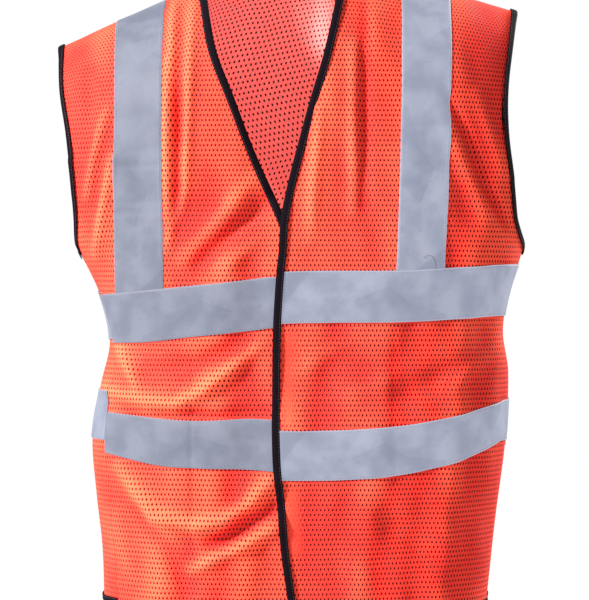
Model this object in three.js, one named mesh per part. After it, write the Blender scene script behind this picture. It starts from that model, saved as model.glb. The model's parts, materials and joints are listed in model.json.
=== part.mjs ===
// A high visibility safety vest, in millimetres, +Z up, worn upright with its front towards -Y.
// The origin is on the wearer's shoulders, between the two shoulder seams.
// The cloth lies on one body form.  A point of the form is named by two numbers: its turn, the
// angle round the body from the wearer's left side through the front, and its climb, the length
// measured up the cloth from the hem.
import * as THREE from 'three';

// Heights above the hem, and the form's own shape.
const SHOULDER_LEVEL = 655;
const HEM_HEIGHT = 1.5;
const SECTION_POWER = 2.5;
const SHOULDER_RADIUS = 120;
const LEFT_UNDERARM = 367;
const RIGHT_UNDERARM = 360;
const ARMHOLE_FOOT = 34;
const RIGHT_SEAM_FORWARD = { low: 0.47, high: 0.11, from: 220, to: 360 };

// Cloth, tape and binding.
const CLOTH_THICKNESS = 1.0;
const TAPE_THICKNESS = 0.6;
const TAPE_WIDTH = 50;
const TAPE_CLEARANCE = 1.1;
const BINDING_THICKNESS = 0.6;
const BINDING_LEG = 6.5;
const BINDING_CLEARANCE = 1.3;
const BINDING_REACH = 8.5;
const SEAM_GAP = 0.5;
const SIDE_GAP_TURN = { left: 0.001, right: 0.003 };

// The lapped fronts and their hook and loop strips.
const LAP_DEPTH = 5.2;
const LAP_START = -56;
const LAP_END = -22;
const LAP_WIDTH = 34;
const STRIP_WIDTH = 16;
const STRIP_THICKNESS = 0.8;
const STRIP_CLEARANCE = 0.4;
const UPPER_STRIP = [188, 280];
const LOWER_STRIP = [58, 122];

// A smooth curve through a few [place, value] points.
function profile(points) {
  const places = points.map((point) => point[0]);
  const values = points.map((point) => point[1]);
  const last = points.length - 1;
  const slopes = places.map((place, index) => {
    const before = Math.max(index - 1, 0);
    const after = Math.min(index + 1, last);
    return (values[after] - values[before]) / (places[after] - places[before]);
  });
  return (place) => {
    const held = Math.min(Math.max(place, places[0]), places[last]);
    let index = 0;
    while (index < last - 1 && held > places[index + 1]) index += 1;
    const span = places[index + 1] - places[index];
    const part = (held - places[index]) / span;
    const square = part * part;
    const cube = square * part;
    const rise = values[index] * (2 * cube - 3 * square + 1);
    const fall = values[index + 1] * (3 * square - 2 * cube);
    const lead = slopes[index] * span * (cube - 2 * square + part);
    return rise + fall + lead + slopes[index + 1] * span * (cube - square);
  };
}

// Half-widths of the body form on the wearer's left and right, by height above the hem.
const leftHalfWidth = profile([
  [0, 208], [89, 218], [168, 228], [239, 231], [280, 225], [319, 231], [367, 246], [420, 253], [455, 254],
]);
const rightHalfWidth = profile([
  [0, 191], [58, 193], [111, 199], [170, 203], [226, 194], [272, 185], [320, 196], [360, 215],
  [375, 223], [426, 240], [455, 248],
]);
const frontDepth = profile([[0, 114], [150, 121], [300, 125], [450, 127], [560, 126], [680, 124]]);
const backDepth = profile([[0, 108], [200, 116], [450, 121], [600, 118], [680, 116]]);

// The neck points, where the shoulder seams end, and the shoulder line's heights along x.
const LEFT_NECK = { x: 60.5, height: 666.5 };
const RIGHT_NECK = { x: -88.5, height: 643 };
const LEFT_SHOULDER_SLOPE = 0.29;
const RIGHT_SHOULDER_SLOPE = 0.44;
const NECK_CENTRE = (LEFT_NECK.x + RIGHT_NECK.x) / 2;
const NECK_HALF = (LEFT_NECK.x - RIGHT_NECK.x) / 2;
const NECK_RISE = 18;
const NECK_DROP = 66;

function shoulderHeight(x) {
  if (x > LEFT_NECK.x) return LEFT_NECK.height - LEFT_SHOULDER_SLOPE * (x - LEFT_NECK.x);
  if (x < RIGHT_NECK.x) return RIGHT_NECK.height + RIGHT_SHOULDER_SLOPE * (x - RIGHT_NECK.x);
  const across = (x - NECK_CENTRE) / NECK_HALF;
  const level = (LEFT_NECK.height + RIGHT_NECK.height) / 2;
  const tilt = (LEFT_NECK.height - RIGHT_NECK.height) / 2;
  return level + tilt * across + NECK_RISE * (1 - across * across);
}

// Free edges of the cloth, x by height.
const leftFrontEdge = profile([
  [0, 3.5], [30, -0.5], [59, -4.5], [113, -9], [144, -12.5], [183, -13.8], [213, -13.5], [283, -12.5],
  [341, -9.1], [360, -7], [392, -5], [430, 2.5], [504, 22], [559, 38], [623, 52], [666.5, 60.5],
]);
const rightNeckEdge = profile([
  [290, 46], [318, 31], [335, 21.5], [360, 9.5], [399, -5.5], [454, -30.5], [516, -54.5], [564, -72.5],
  [623, -83.5], [643, -88.5],
]);
const rightFrontEdge = (height) => Math.min(rightNeckEdge(height), leftFrontEdge(height) + LAP_WIDTH);
const leftArmholeEdge = profile([
  [367, 246], [379, 237.5], [398, 233.5], [440, 229.5], [484, 226.5], [517, 226.5], [561, 231.5],
  [614, 239.5],
]);
const rightArmholeEdge = profile([
  [360, 216], [372, 215.5], [426, 220.5], [478, 226.5], [529, 236.5], [578, 238.5],
]);

// The fronts turn outwards about these two straight fold lines.
const LEFT_FOLD = { topX: 40.5, topHeight: 559, bottomX: 140 };
const RIGHT_FOLD = { topX: -45, topHeight: 485, bottomX: -100 };
const FOLD_TIP = 9;

function foldX(fold, height) {
  return fold.bottomX + (fold.topX - fold.bottomX) * (height / fold.topHeight);
}

// Edges of the horizontal tapes, height by x, on the fronts and on the back.
const upperTop = profile([
  [-215, 318], [-190, 318], [-130, 322], [-80, 327], [-14, 336], [-13, 341], [120, 343], [215, 350],
]);
const upperBottom = profile([
  [-215, 269], [-145, 270], [-100, 275], [-14, 285], [-13, 289], [125, 291], [178, 294], [218, 297],
]);
const lowerTop = profile([
  [-215, 203], [-145, 196], [-95, 192], [-14, 193], [-13, 183], [107, 186], [175, 197], [224, 210],
]);
const lowerBottom = profile([
  [-215, 165], [-165, 155], [-120, 146], [-14, 141], [-13, 133], [107, 136], [180, 151], [222, 168],
]);
const upperTopBack = profile([[-215, 320], [0, 337], [218, 351]]);
const lowerTopBack = profile([[-215, 222], [0, 212], [222, 211]]);

function smoothStep(low, high, value) {
  const part = Math.min(Math.max((value - low) / (high - low), 0), 1);
  return part * part * (3 - 2 * part);
}

function mix(from, to, part) {
  return from + (to - from) * part;
}

function halfWidth(isLeft, height) {
  return isLeft ? leftHalfWidth(height) : rightHalfWidth(height);
}

function signedPower(value, power) {
  return Math.sign(value) * Math.abs(value) ** power;
}

// Turn of the point at x on the front (facing 1) or on the back (facing -1).
function turnAt(x, height, facing) {
  const width = halfWidth(x > 0, height);
  const share = Math.min(Math.abs(x) / width, 1) ** (SECTION_POWER / 2);
  const angle = Math.acos(share);
  const turn = x > 0 ? angle : Math.PI - angle;
  return facing > 0 ? turn : -turn;
}

function acrossAt(turn, height) {
  const cosine = Math.cos(turn);
  return halfWidth(cosine > 0, height) * signedPower(cosine, 2 / SECTION_POWER);
}

// Height of a climb, and climb of a height, at a given x.
function heightOf(climb, x) {
  const start = shoulderHeight(x) - SHOULDER_RADIUS;
  if (climb <= start) return climb;
  return start + SHOULDER_RADIUS * Math.sin((climb - start) / SHOULDER_RADIUS);
}

function climbOf(height, x) {
  const start = shoulderHeight(x) - SHOULDER_RADIUS;
  if (height <= start) return height;
  return start + SHOULDER_RADIUS * Math.asin(Math.min((height - start) / SHOULDER_RADIUS, 1));
}

function seamClimb(x) {
  return shoulderHeight(x) + SHOULDER_RADIUS * (Math.PI / 2 - 1);
}

// How far the wearer's right front is laid in under the left one.
function lapInset(x) {
  return LAP_DEPTH * smoothStep(LAP_START, LAP_END, x);
}

function formPoint(turn, climb, lapped = false) {
  const x = acrossAt(turn, climb);
  const start = shoulderHeight(x) - SHOULDER_RADIUS;
  const bend = Math.max(climb - start, 0) / SHOULDER_RADIUS;
  const height = heightOf(climb, x);
  const sine = Math.sin(turn);
  const depth = sine > 0 ? frontDepth(height) : backDepth(height);
  const y = -depth * signedPower(sine, 2 / SECTION_POWER) * Math.cos(bend);
  return new THREE.Vector3(x, lapped ? y + lapInset(x) : y, height - SHOULDER_LEVEL);
}

function formNormal(turn, climb, lapped) {
  const turnStep = 0.02;
  const climbStep = 1;
  const round = formPoint(turn + turnStep, climb, lapped).sub(formPoint(turn - turnStep, climb, lapped));
  const up = formPoint(turn, climb + climbStep, lapped).sub(formPoint(turn, climb - climbStep, lapped));
  return up.cross(round).normalize();
}

// A place on the cloth: its point, its outward normal, and any inset of the lapped front.
function place(turn, climb, lapped = false) {
  const point = formPoint(turn, climb, lapped);
  return { point, normal: formNormal(turn, climb, lapped), turn, climb, lapped };
}

// A closed mesh from points and triangles, turned so that its faces point out.
function closedGeometry(points, triangles) {
  let volume = 0;
  for (const [a, b, c] of triangles) {
    volume += points[a].dot(points[b].clone().cross(points[c]));
  }
  const ordered = volume > 0 ? triangles : triangles.map(([a, b, c]) => [a, c, b]);
  const geometry = new THREE.BufferGeometry();
  const numbers = points.flatMap((point) => [point.x, point.y, point.z]);
  geometry.setAttribute('position', new THREE.Float32BufferAttribute(numbers, 3));
  geometry.setIndex(ordered.flat());
  geometry.computeVertexNormals();
  return geometry;
}

// A sheet with two skins and a rim, from rows of places; both skins are measured off the form.
function sheetGeometry(rows, outer, inner) {
  const columns = rows[0].length;
  const skin = (offset) => rows.flat().map((spot) => spot.point.clone().addScaledVector(spot.normal, offset));
  const points = [...skin(outer), ...skin(inner)];
  const lower = rows.length * columns;
  const triangles = [];
  for (let row = 0; row < rows.length - 1; row += 1) {
    for (let column = 0; column < columns - 1; column += 1) {
      const a = row * columns + column;
      const b = a + 1;
      const c = a + columns;
      const d = c + 1;
      triangles.push([a, b, d], [a, d, c]);
      triangles.push([lower + a, lower + d, lower + b], [lower + a, lower + c, lower + d]);
    }
  }
  for (const [a, b] of rimPairs(rows.length, columns)) {
    triangles.push([a, lower + b, b], [a, lower + a, lower + b]);
  }
  return closedGeometry(points, triangles);
}

// The sheet's outline as pairs of neighbouring points, in one direction round.
function rimPairs(rowCount, columns) {
  const loop = [];
  for (let column = 0; column < columns; column += 1) loop.push(column);
  for (let row = 1; row < rowCount; row += 1) loop.push(row * columns + columns - 1);
  for (let column = columns - 2; column >= 0; column -= 1) loop.push((rowCount - 1) * columns + column);
  for (let row = rowCount - 2; row > 0; row -= 1) loop.push(row * columns);
  return loop.map((item, index) => [item, loop[(index + 1) % loop.length]]);
}

// The folded section of a binding: two legs and the fold between them, as eight corners.
function bindingSection() {
  const near = BINDING_CLEARANCE;
  const far = BINDING_CLEARANCE + BINDING_THICKNESS;
  const back = -CLOTH_THICKNESS;
  return [
    [-BINDING_LEG, near], [near, near], [near, back - near], [-BINDING_LEG, back - near],
    [-BINDING_LEG, back - far], [far, back - far], [far, far], [-BINDING_LEG, far],
  ];
}

// The place that lies one leg's length inside an edge, along the cloth.
function legPlace(spot, away) {
  const turnStep = 0.02;
  const { turn, climb, lapped } = spot;
  const round = formPoint(turn + turnStep, climb, lapped).sub(formPoint(turn - turnStep, climb, lapped));
  round.divideScalar(2 * turnStep);
  const up = formPoint(turn, climb + 1, lapped).sub(formPoint(turn, climb - 1, lapped)).divideScalar(2);
  const wanted = away.clone().multiplyScalar(-BINDING_LEG);
  const [a, b, c] = [round.dot(round), round.dot(up), up.dot(up)];
  const [first, second] = [wanted.dot(round), wanted.dot(up)];
  const scale = a * c - b * b;
  return place(turn + (c * first - b * second) / scale, climb + (a * second - b * first) / scale, lapped);
}

// A binding folded over an edge; the edge's places run with the cloth on their left (side 1) or right (-1).
function bindingGeometry(edge, side, closed) {
  const section = bindingSection();
  const count = edge.length;
  const points = [];
  edge.forEach((spot, index) => {
    const before = closed ? edge[(index + count - 1) % count] : edge[Math.max(index - 1, 0)];
    const after = closed ? edge[(index + 1) % count] : edge[Math.min(index + 1, count - 1)];
    const along = after.point.clone().sub(before.point).normalize();
    const away = along.cross(spot.normal).multiplyScalar(side).normalize();
    const leg = legPlace(spot, away);
    for (const [out, up] of section) {
      if (out < 0) points.push(leg.point.clone().addScaledVector(leg.normal, up));
      else points.push(spot.point.clone().addScaledVector(away, out).addScaledVector(spot.normal, up));
    }
  });
  const size = section.length;
  const triangles = [];
  const steps = closed ? count : count - 1;
  for (let step = 0; step < steps; step += 1) {
    const here = step * size;
    const next = ((step + 1) % count) * size;
    for (let corner = 0; corner < size; corner += 1) {
      const other = (corner + 1) % size;
      triangles.push([here + corner, next + corner, next + other]);
      triangles.push([here + corner, next + other, here + other]);
    }
  }
  if (!closed) {
    const last = (count - 1) * size;
    for (const [a, b, c, d] of [[0, 1, 6, 7], [1, 2, 5, 6], [2, 3, 4, 5]]) {
      triangles.push([a, b, c], [a, c, d], [last + a, last + c, last + b], [last + a, last + d, last + c]);
    }
  }
  return closedGeometry(points, triangles);
}

function evenly(from, to, count) {
  return Array.from({ length: count + 1 }, (unused, index) => mix(from, to, index / count));
}

// Shares from 0 to 1 that lie closer together towards both ends.
const END_BUNCHING = 0.62;

function bunched(count) {
  return evenly(0, 1, count).map((part) => mix(part, (1 - Math.cos(Math.PI * part)) / 2, END_BUNCHING));
}

// Rows of the big panels: even up to the underarm, round the armhole's foot, then up to the shoulder.
const LOWER_ROWS = 17;
const FOOT_ROWS = 5;
const FOOT_SPREAD = 0.13;
const UPPER_ROWS = 11;

function sideClimbs(isLeft) {
  const underarm = isLeft ? LEFT_UNDERARM : RIGHT_UNDERARM;
  const tip = tipClimb(isLeft);
  const lower = evenly(HEM_HEIGHT, underarm, LOWER_ROWS);
  const foot = evenly(0, Math.PI / 2, FOOT_ROWS).slice(1);
  const rounding = foot.map((angle) => underarm + ARMHOLE_FOOT * (1 - Math.cos(angle)));
  const steps = evenly(0, 1, UPPER_ROWS).slice(1);
  const closing = steps.map((part) => mix(part, Math.sin(Math.PI * part / 2), END_BUNCHING));
  return [...lower, ...rounding, ...closing.map((part) => mix(underarm + ARMHOLE_FOOT, tip, part))];
}

function tipX(isLeft) {
  return isLeft ? 239.5 : -238.5;
}

function tipClimb(isLeft) {
  return seamClimb(tipX(isLeft));
}

// Turn of a side seam. The right one comes forward, further low down than at the underarm.
function seamTurn(isLeft, height) {
  if (isLeft) return 0;
  const { low, high, from, to } = RIGHT_SEAM_FORWARD;
  return Math.PI - mix(low, high, smoothStep(from, to, height));
}

// Turn of the panel's side edge: the side seam, then the armhole.
function sideTurn(isLeft, climb, facing) {
  const underarm = isLeft ? LEFT_UNDERARM : RIGHT_UNDERARM;
  const seam = seamTurn(isLeft, climb);
  const base = facing < 0 && !isLeft ? seam - 2 * Math.PI : seam;
  if (climb <= underarm) return base;
  const level = heightOf(climb, tipX(isLeft));
  const x = isLeft ? leftArmholeEdge(level) : -rightArmholeEdge(level);
  const reach = turnAt(x, climb, facing);
  const target = !isLeft && facing > 0 ? Math.min(reach, seam - FOOT_SPREAD) : reach;
  const part = Math.min((climb - underarm) / ARMHOLE_FOOT, 1);
  return mix(base, target, Math.sqrt(1 - (1 - part) ** 2));
}

const RAMP_START = 250;

function ramp(isLeft, climb) {
  return smoothStep(RAMP_START, tipClimb(isLeft), climb);
}

// The half gap between neighbouring panels, as a turn.
function gapTurn(isLeft, climb) {
  if (climb > (isLeft ? LEFT_UNDERARM : RIGHT_UNDERARM)) return 0;
  return isLeft ? SIDE_GAP_TURN.left : SIDE_GAP_TURN.right;
}

// Climb of a row at x: level low down, and following the shoulder seam at the top.
function rowClimb(isLeft, climb, x) {
  const top = seamClimb(x) - SEAM_GAP;
  return climb + (top - tipClimb(isLeft)) * ramp(isLeft, climb);
}

const SETTLE_PASSES = 8;

// Where a row meets an edge whose x depends on the height: found by repeated passes.
function settle(isLeft, climb, edgeX) {
  let x = isLeft ? LEFT_NECK.x : RIGHT_NECK.x;
  let level = climb;
  for (let pass = 0; pass < SETTLE_PASSES; pass += 1) {
    level = rowClimb(isLeft, climb, x);
    x = edgeX(heightOf(level, x));
  }
  return { turn: turnAt(x, level, 1), climb: level };
}

// Inner edge of a front's fixed part: the fold line low down, then the neck's edge.
function innerPlace(isLeft, climb) {
  const folded = settle(isLeft, climb, (height) => fixedFoldX(isLeft, height));
  const fold = isLeft ? LEFT_FOLD : RIGHT_FOLD;
  if (folded.climb < fold.topHeight - FOLD_TIP) return folded;
  return settle(isLeft, climb, (height) => flapEdgeX(isLeft, height));
}

// Height of the highest row that still meets the fold line, where the flap ends.
function flapTop(isLeft) {
  const fold = isLeft ? LEFT_FOLD : RIGHT_FOLD;
  const levels = sideClimbs(isLeft).map((climb) => innerPlace(isLeft, climb).climb);
  return Math.max(...levels.filter((level) => level < fold.topHeight - FOLD_TIP)) - SEAM_GAP;
}

function fixedFoldX(isLeft, height) {
  return isLeft ? foldX(LEFT_FOLD, height) + SEAM_GAP : foldX(RIGHT_FOLD, height) - SEAM_GAP;
}

// The fixed part of one front, from its inner edge to the side seam and armhole.
const FRONT_COLUMNS = 9;

function frontRows(isLeft) {
  return sideClimbs(isLeft).map((climb) => {
    const inner = innerPlace(isLeft, climb);
    const gap = gapTurn(isLeft, climb) * (isLeft ? 1 : -1);
    const outerTurn = sideTurn(isLeft, climb, 1) + gap;
    return bunched(FRONT_COLUMNS).map((part) => {
      const turn = mix(inner.turn, outerTurn, part);
      return place(turn, rowClimb(isLeft, climb, acrossAt(turn, climb)));
    });
  });
}

// The back, from the left side seam round to the right one, with the neck between the shoulder seams.
const BACK_SHOULDER_COLUMNS = 8;
const BACK_NECK_COLUMNS = 12;

function neckDrop(x) {
  const across = (x - NECK_CENTRE) / NECK_HALF;
  return NECK_DROP * Math.sqrt(Math.max(1 - across * across, 0));
}

function backParts() {
  const left = turnAt(tipX(true), tipClimb(true), -1);
  const right = turnAt(tipX(false), tipClimb(false), -1);
  const share = (x) => (turnAt(x, tipClimb(x > 0), -1) - left) / (right - left);
  const leftNeck = share(LEFT_NECK.x);
  const rightNeck = share(RIGHT_NECK.x);
  const shoulder = bunched(BACK_SHOULDER_COLUMNS);
  const rounded = evenly(0, 1, BACK_NECK_COLUMNS).map((part) => (1 - Math.cos(Math.PI * part)) / 2);
  return [
    ...shoulder.map((part) => mix(0, leftNeck, part)),
    ...rounded.slice(1).map((part) => mix(leftNeck, rightNeck, part)),
    ...shoulder.slice(1).map((part) => mix(rightNeck, 1, part)),
  ];
}

function backPlace(leftClimb, rightClimb, part) {
  const from = sideTurn(true, leftClimb, -1) - gapTurn(true, leftClimb);
  const to = sideTurn(false, rightClimb, -1) + gapTurn(false, rightClimb);
  const turn = mix(from, to, part);
  const base = mix(leftClimb, rightClimb, part);
  const x = acrossAt(turn, base);
  const tip = mix(tipClimb(true), tipClimb(false), part);
  const rise = seamClimb(x) - SEAM_GAP - neckDrop(x) - tip;
  return place(turn, base + rise * smoothStep(RAMP_START, tip, base));
}

function backRows() {
  const left = sideClimbs(true);
  const right = sideClimbs(false);
  const parts = backParts();
  return left.map((climb, row) => parts.map((part) => backPlace(climb, right[row], part)));
}

// One front flap, from its free edge to the fold line.
const FLAP_ROWS = 22;
const FLAP_COLUMNS = 7;

function flapPlace(isLeft, height, x) {
  return place(turnAt(x, height, 1), height, !isLeft);
}

function flapEdgeX(isLeft, height) {
  return isLeft ? leftFrontEdge(height) : rightFrontEdge(height);
}

function flapFoldX(isLeft, height) {
  return isLeft ? foldX(LEFT_FOLD, height) - SEAM_GAP : foldX(RIGHT_FOLD, height) + SEAM_GAP;
}

function flapHeights(isLeft) {
  return evenly(HEM_HEIGHT, flapTop(isLeft), FLAP_ROWS);
}

function flapRows(isLeft) {
  return flapHeights(isLeft).map((height) => {
    const free = flapEdgeX(isLeft, height);
    const fold = flapFoldX(isLeft, height);
    return evenly(free, fold, FLAP_COLUMNS).map((x) => flapPlace(isLeft, height, x));
  });
}

// Rows up and columns along the tapes, and the level at which a tape's rough place is found.
const TAPE_ROWS = 3;
const SIDE_TAPE_COLUMNS = 10;
const FLAP_TAPE_COLUMNS = 6;
const BACK_TAPE_COLUMNS = 26;
const MID_LEVEL = 250;
const FOLD_TO_TAPE = 1;

// A horizontal tape on a front, between two x, with its edges given by height profiles.
function frontTapeRows(from, to, columns, top, bottom, lapped) {
  return evenly(0, 1, TAPE_ROWS).map((part) => evenly(0, 1, columns).map((across) => {
    const guess = mix(from(MID_LEVEL), to(MID_LEVEL), across);
    const height = mix(bottom(guess), top(guess), part);
    const x = mix(from(height), to(height), across);
    return place(turnAt(x, height, 1), height, lapped);
  }));
}

// A horizontal tape that runs round the side to the side seam, by turn.
function sideTapeRows(isLeft, columns, top, bottom) {
  const sign = isLeft ? 1 : -1;
  const turnOf = (height, across) => {
    const start = foldX(isLeft ? LEFT_FOLD : RIGHT_FOLD, height) + sign * FOLD_TO_TAPE;
    const end = seamTurn(isLeft, height) + sign * gapTurn(isLeft, 0);
    return mix(turnAt(start, height, 1), end, across);
  };
  return evenly(0, 1, TAPE_ROWS).map((part) => evenly(0, 1, columns).map((across) => {
    const x = acrossAt(turnOf(MID_LEVEL, across), MID_LEVEL);
    const height = mix(bottom(x), top(x), part);
    return place(turnOf(height, across), height);
  }));
}

function backTapeRows(top) {
  const turnOf = (height, across) => {
    const end = seamTurn(false, height) - 2 * Math.PI + gapTurn(false, 0);
    return mix(-gapTurn(true, 0), end, across);
  };
  return evenly(0, TAPE_WIDTH, TAPE_ROWS).map((up) => evenly(0, 1, BACK_TAPE_COLUMNS).map((across) => {
    const height = top(acrossAt(turnOf(MID_LEVEL, across), MID_LEVEL)) - TAPE_WIDTH + up;
    return place(turnOf(height, across), height);
  }));
}

// A vertical tape from just above the upper tape to the shoulder seam.
const SHOULDER_TAPE = { rows: 16, columns: 4, guess: 340, top: 620, clearance: 2 };
const leftTapeCentre = profile([[340, 134], [420, 138], [620, 143]]);
const rightTapeCentre = profile([[320, -149], [600, -151]]);

function shoulderTapeRows(isLeft, facing) {
  const centre = isLeft ? leftTapeCentre : rightTapeCentre;
  const band = facing > 0 ? upperTop : upperTopBack;
  const columns = evenly(-TAPE_WIDTH / 2, TAPE_WIDTH / 2, SHOULDER_TAPE.columns);
  return evenly(0, 1, SHOULDER_TAPE.rows).map((part) => columns.map((aside) => {
    const low = band(centre(SHOULDER_TAPE.guess) + aside) + SHOULDER_TAPE.clearance;
    const x = centre(mix(low, SHOULDER_TAPE.top, part)) + aside;
    const climb = mix(low, seamClimb(x) - 2 * SEAM_GAP, part);
    return place(turnAt(x, climb, facing), climb);
  }));
}

// Edges for the bindings.
function armholeEdge(isLeft) {
  const climbs = sideClimbs(isLeft).slice(LOWER_ROWS + 1);
  const edgePlace = (climb, facing) => {
    const turn = sideTurn(isLeft, climb, facing);
    return place(turn, rowClimb(isLeft, climb, acrossAt(turn, climb)));
  };
  const front = climbs.map((climb) => edgePlace(climb, 1));
  const back = climbs.map((climb) => edgePlace(climb, -1));
  const underarm = isLeft ? LEFT_UNDERARM : RIGHT_UNDERARM;
  const footClimb = underarm + 2 * SEAM_GAP;
  const foot = place(seamTurn(isLeft, footClimb), footClimb);
  return [foot, ...front, ...back.reverse()];
}

function neckEdge() {
  const left = sideClimbs(true).map((climb) => innerPlace(true, climb));
  const right = sideClimbs(false).map((climb) => innerPlace(false, climb));
  const above = (spots, fold) => spots.filter((spot) => spot.climb > fold.topHeight - FOLD_TIP);
  const rise = above(left, LEFT_FOLD).map((spot) => place(spot.turn, spot.climb));
  const fall = above(right, RIGHT_FOLD).map((spot) => place(spot.turn, spot.climb)).reverse();
  const parts = backParts().slice(BACK_SHOULDER_COLUMNS, BACK_SHOULDER_COLUMNS + BACK_NECK_COLUMNS + 1);
  const back = parts.slice(1, -1).map((part) => backPlace(tipClimb(true), tipClimb(false), part));
  return [...rise, ...back, ...fall];
}

const HEM_STEPS = { body: 40, flap: 7 };

function hemEdge() {
  const from = turnAt(foldX(LEFT_FOLD, 0) + 2 * SEAM_GAP, 0, 1);
  const to = turnAt(foldX(RIGHT_FOLD, 0) - 2 * SEAM_GAP, 0, 1) - 2 * Math.PI;
  return evenly(from, to, HEM_STEPS.body).map((turn) => place(turn, HEM_HEIGHT));
}

function flapHemEdge(isLeft) {
  const sign = isLeft ? 1 : -1;
  const from = flapEdgeX(isLeft, HEM_HEIGHT) + sign * BINDING_REACH;
  const to = flapFoldX(isLeft, HEM_HEIGHT) - sign * SEAM_GAP;
  return evenly(from, to, HEM_STEPS.flap).map((x) => flapPlace(isLeft, HEM_HEIGHT, x));
}

function flapFreeEdge(isLeft) {
  return flapHeights(isLeft).map((height) => flapPlace(isLeft, height, flapEdgeX(isLeft, height)));
}

// A hook strip inside the left flap, or the loop strip facing it on the right flap.
const STRIP_ROWS = 4;

function stripRows(isLeft, [bottom, top]) {
  return evenly(bottom, top, STRIP_ROWS).map((height) => {
    const from = leftFrontEdge(height) + BINDING_REACH;
    return evenly(from, from + STRIP_WIDTH, 1).map((x) => flapPlace(isLeft, height, x));
  });
}

// The blank care label, sewn in at the left side seam and lying inside the back.
const LABEL = { turn: 0.12, width: 34, reach: 130, height: 60, bottom: 70, clearance: 3, thickness: 0.5 };

function labelRows() {
  return evenly(LABEL.bottom, LABEL.bottom + LABEL.height, 2).map((height) => {
    const to = -LABEL.turn - LABEL.width / LABEL.reach;
    return evenly(-LABEL.turn, to, 3).map((turn) => place(turn, height));
  });
}

const FINISHES = {
  cloth: { color: 0xff5a46, roughness: 0.85, metalness: 0 },
  tape: { color: 0x9da8bf, roughness: 0.45, metalness: 0.1 },
  binding: { color: 0x231c28, roughness: 0.8, metalness: 0 },
  strip: { color: 0xe8452f, roughness: 0.95, metalness: 0 },
  label: { color: 0xf2f2ee, roughness: 0.6, metalness: 0 },
};

function piece(name, finish, geometry) {
  const mesh = new THREE.Mesh(geometry, new THREE.MeshStandardMaterial(FINISHES[finish]));
  mesh.name = name;
  return mesh;
}

function cloth(name, rows) {
  return piece(name, 'cloth', sheetGeometry(rows, 0, -CLOTH_THICKNESS));
}

function tape(name, rows) {
  return piece(name, 'tape', sheetGeometry(rows, TAPE_CLEARANCE + TAPE_THICKNESS, TAPE_CLEARANCE));
}

function binding(name, edge, side, closed = false) {
  return piece(name, 'binding', bindingGeometry(edge, side, closed));
}

// The parts that hang fixed from the shoulders.
function bodyOf() {
  const group = new THREE.Group();
  group.name = 'body';
  group.add(cloth('back_panel', backRows()));
  for (const [side, isLeft] of [['left', true], ['right', false]]) {
    group.add(cloth(`${side}_front_panel`, frontRows(isLeft)));
    group.add(tape(`${side}_shoulder_tape_front`, shoulderTapeRows(isLeft, 1)));
    group.add(tape(`${side}_shoulder_tape_back`, shoulderTapeRows(isLeft, -1)));
    const tapeRows = (top, bottom) => sideTapeRows(isLeft, SIDE_TAPE_COLUMNS, top, bottom);
    group.add(tape(`upper_tape_${side}_side`, tapeRows(upperTop, upperBottom)));
    group.add(tape(`lower_tape_${side}_side`, tapeRows(lowerTop, lowerBottom)));
    group.add(binding(`${side}_armhole_binding`, armholeEdge(isLeft), isLeft ? 1 : -1, true));
  }
  group.add(tape('upper_tape_back', backTapeRows(upperTopBack)));
  group.add(tape('lower_tape_back', backTapeRows(lowerTopBack)));
  group.add(binding('neck_binding', neckEdge(), -1));
  group.add(binding('hem_binding', hemEdge(), 1));
  const inner = -CLOTH_THICKNESS - LABEL.clearance;
  group.add(piece('care_label', 'label', sheetGeometry(labelRows(), inner, inner - LABEL.thickness)));
  return group;
}

// One front flap with everything sewn to it.
function flapOf(isLeft) {
  const side = isLeft ? 'left' : 'right';
  const sign = isLeft ? 1 : -1;
  const group = new THREE.Group();
  group.name = `${side}_flap`;
  group.add(cloth(`${side}_front_flap`, flapRows(isLeft)));
  const from = (height) => flapEdgeX(isLeft, height) + sign * BINDING_REACH;
  const to = (height) => flapFoldX(isLeft, height) - sign * SEAM_GAP;
  const tapeRows = (top, bottom) => frontTapeRows(from, to, FLAP_TAPE_COLUMNS, top, bottom, !isLeft);
  group.add(tape(`${side}_flap_upper_tape`, tapeRows(upperTop, upperBottom)));
  group.add(tape(`${side}_flap_lower_tape`, tapeRows(lowerTop, lowerBottom)));
  group.add(binding(`${side}_edge_binding`, flapFreeEdge(isLeft), -sign));
  group.add(binding(`${side}_flap_hem_binding`, flapHemEdge(isLeft), sign));
  const facing = isLeft ? -CLOTH_THICKNESS - STRIP_CLEARANCE : STRIP_CLEARANCE + STRIP_THICKNESS;
  for (const [level, span] of [['upper', UPPER_STRIP], ['lower', LOWER_STRIP]]) {
    const strip = sheetGeometry(stripRows(isLeft, span), facing, facing - STRIP_THICKNESS);
    group.add(piece(`${level}_${isLeft ? 'hook' : 'loop'}_strip`, 'strip', strip));
  }
  return group;
}

const vest = new THREE.Group();
vest.name = 'vest';
vest.add(bodyOf());
vest.add(flapOf(true));
vest.add(flapOf(false));

export default vest;
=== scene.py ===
"""High visibility vest: mesh cloth, reflective tapes, dark bindings, stitching and a hook and loop front.

Lengths in the classes are millimetres, heights are measured up from the hem, and x runs to the wearer's
left.  Meshes are made in metres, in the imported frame.
"""
import json
import logging
import math
from dataclasses import dataclass, field
from enum import Enum
from typing import Any, Optional, Sequence, Union

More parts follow.
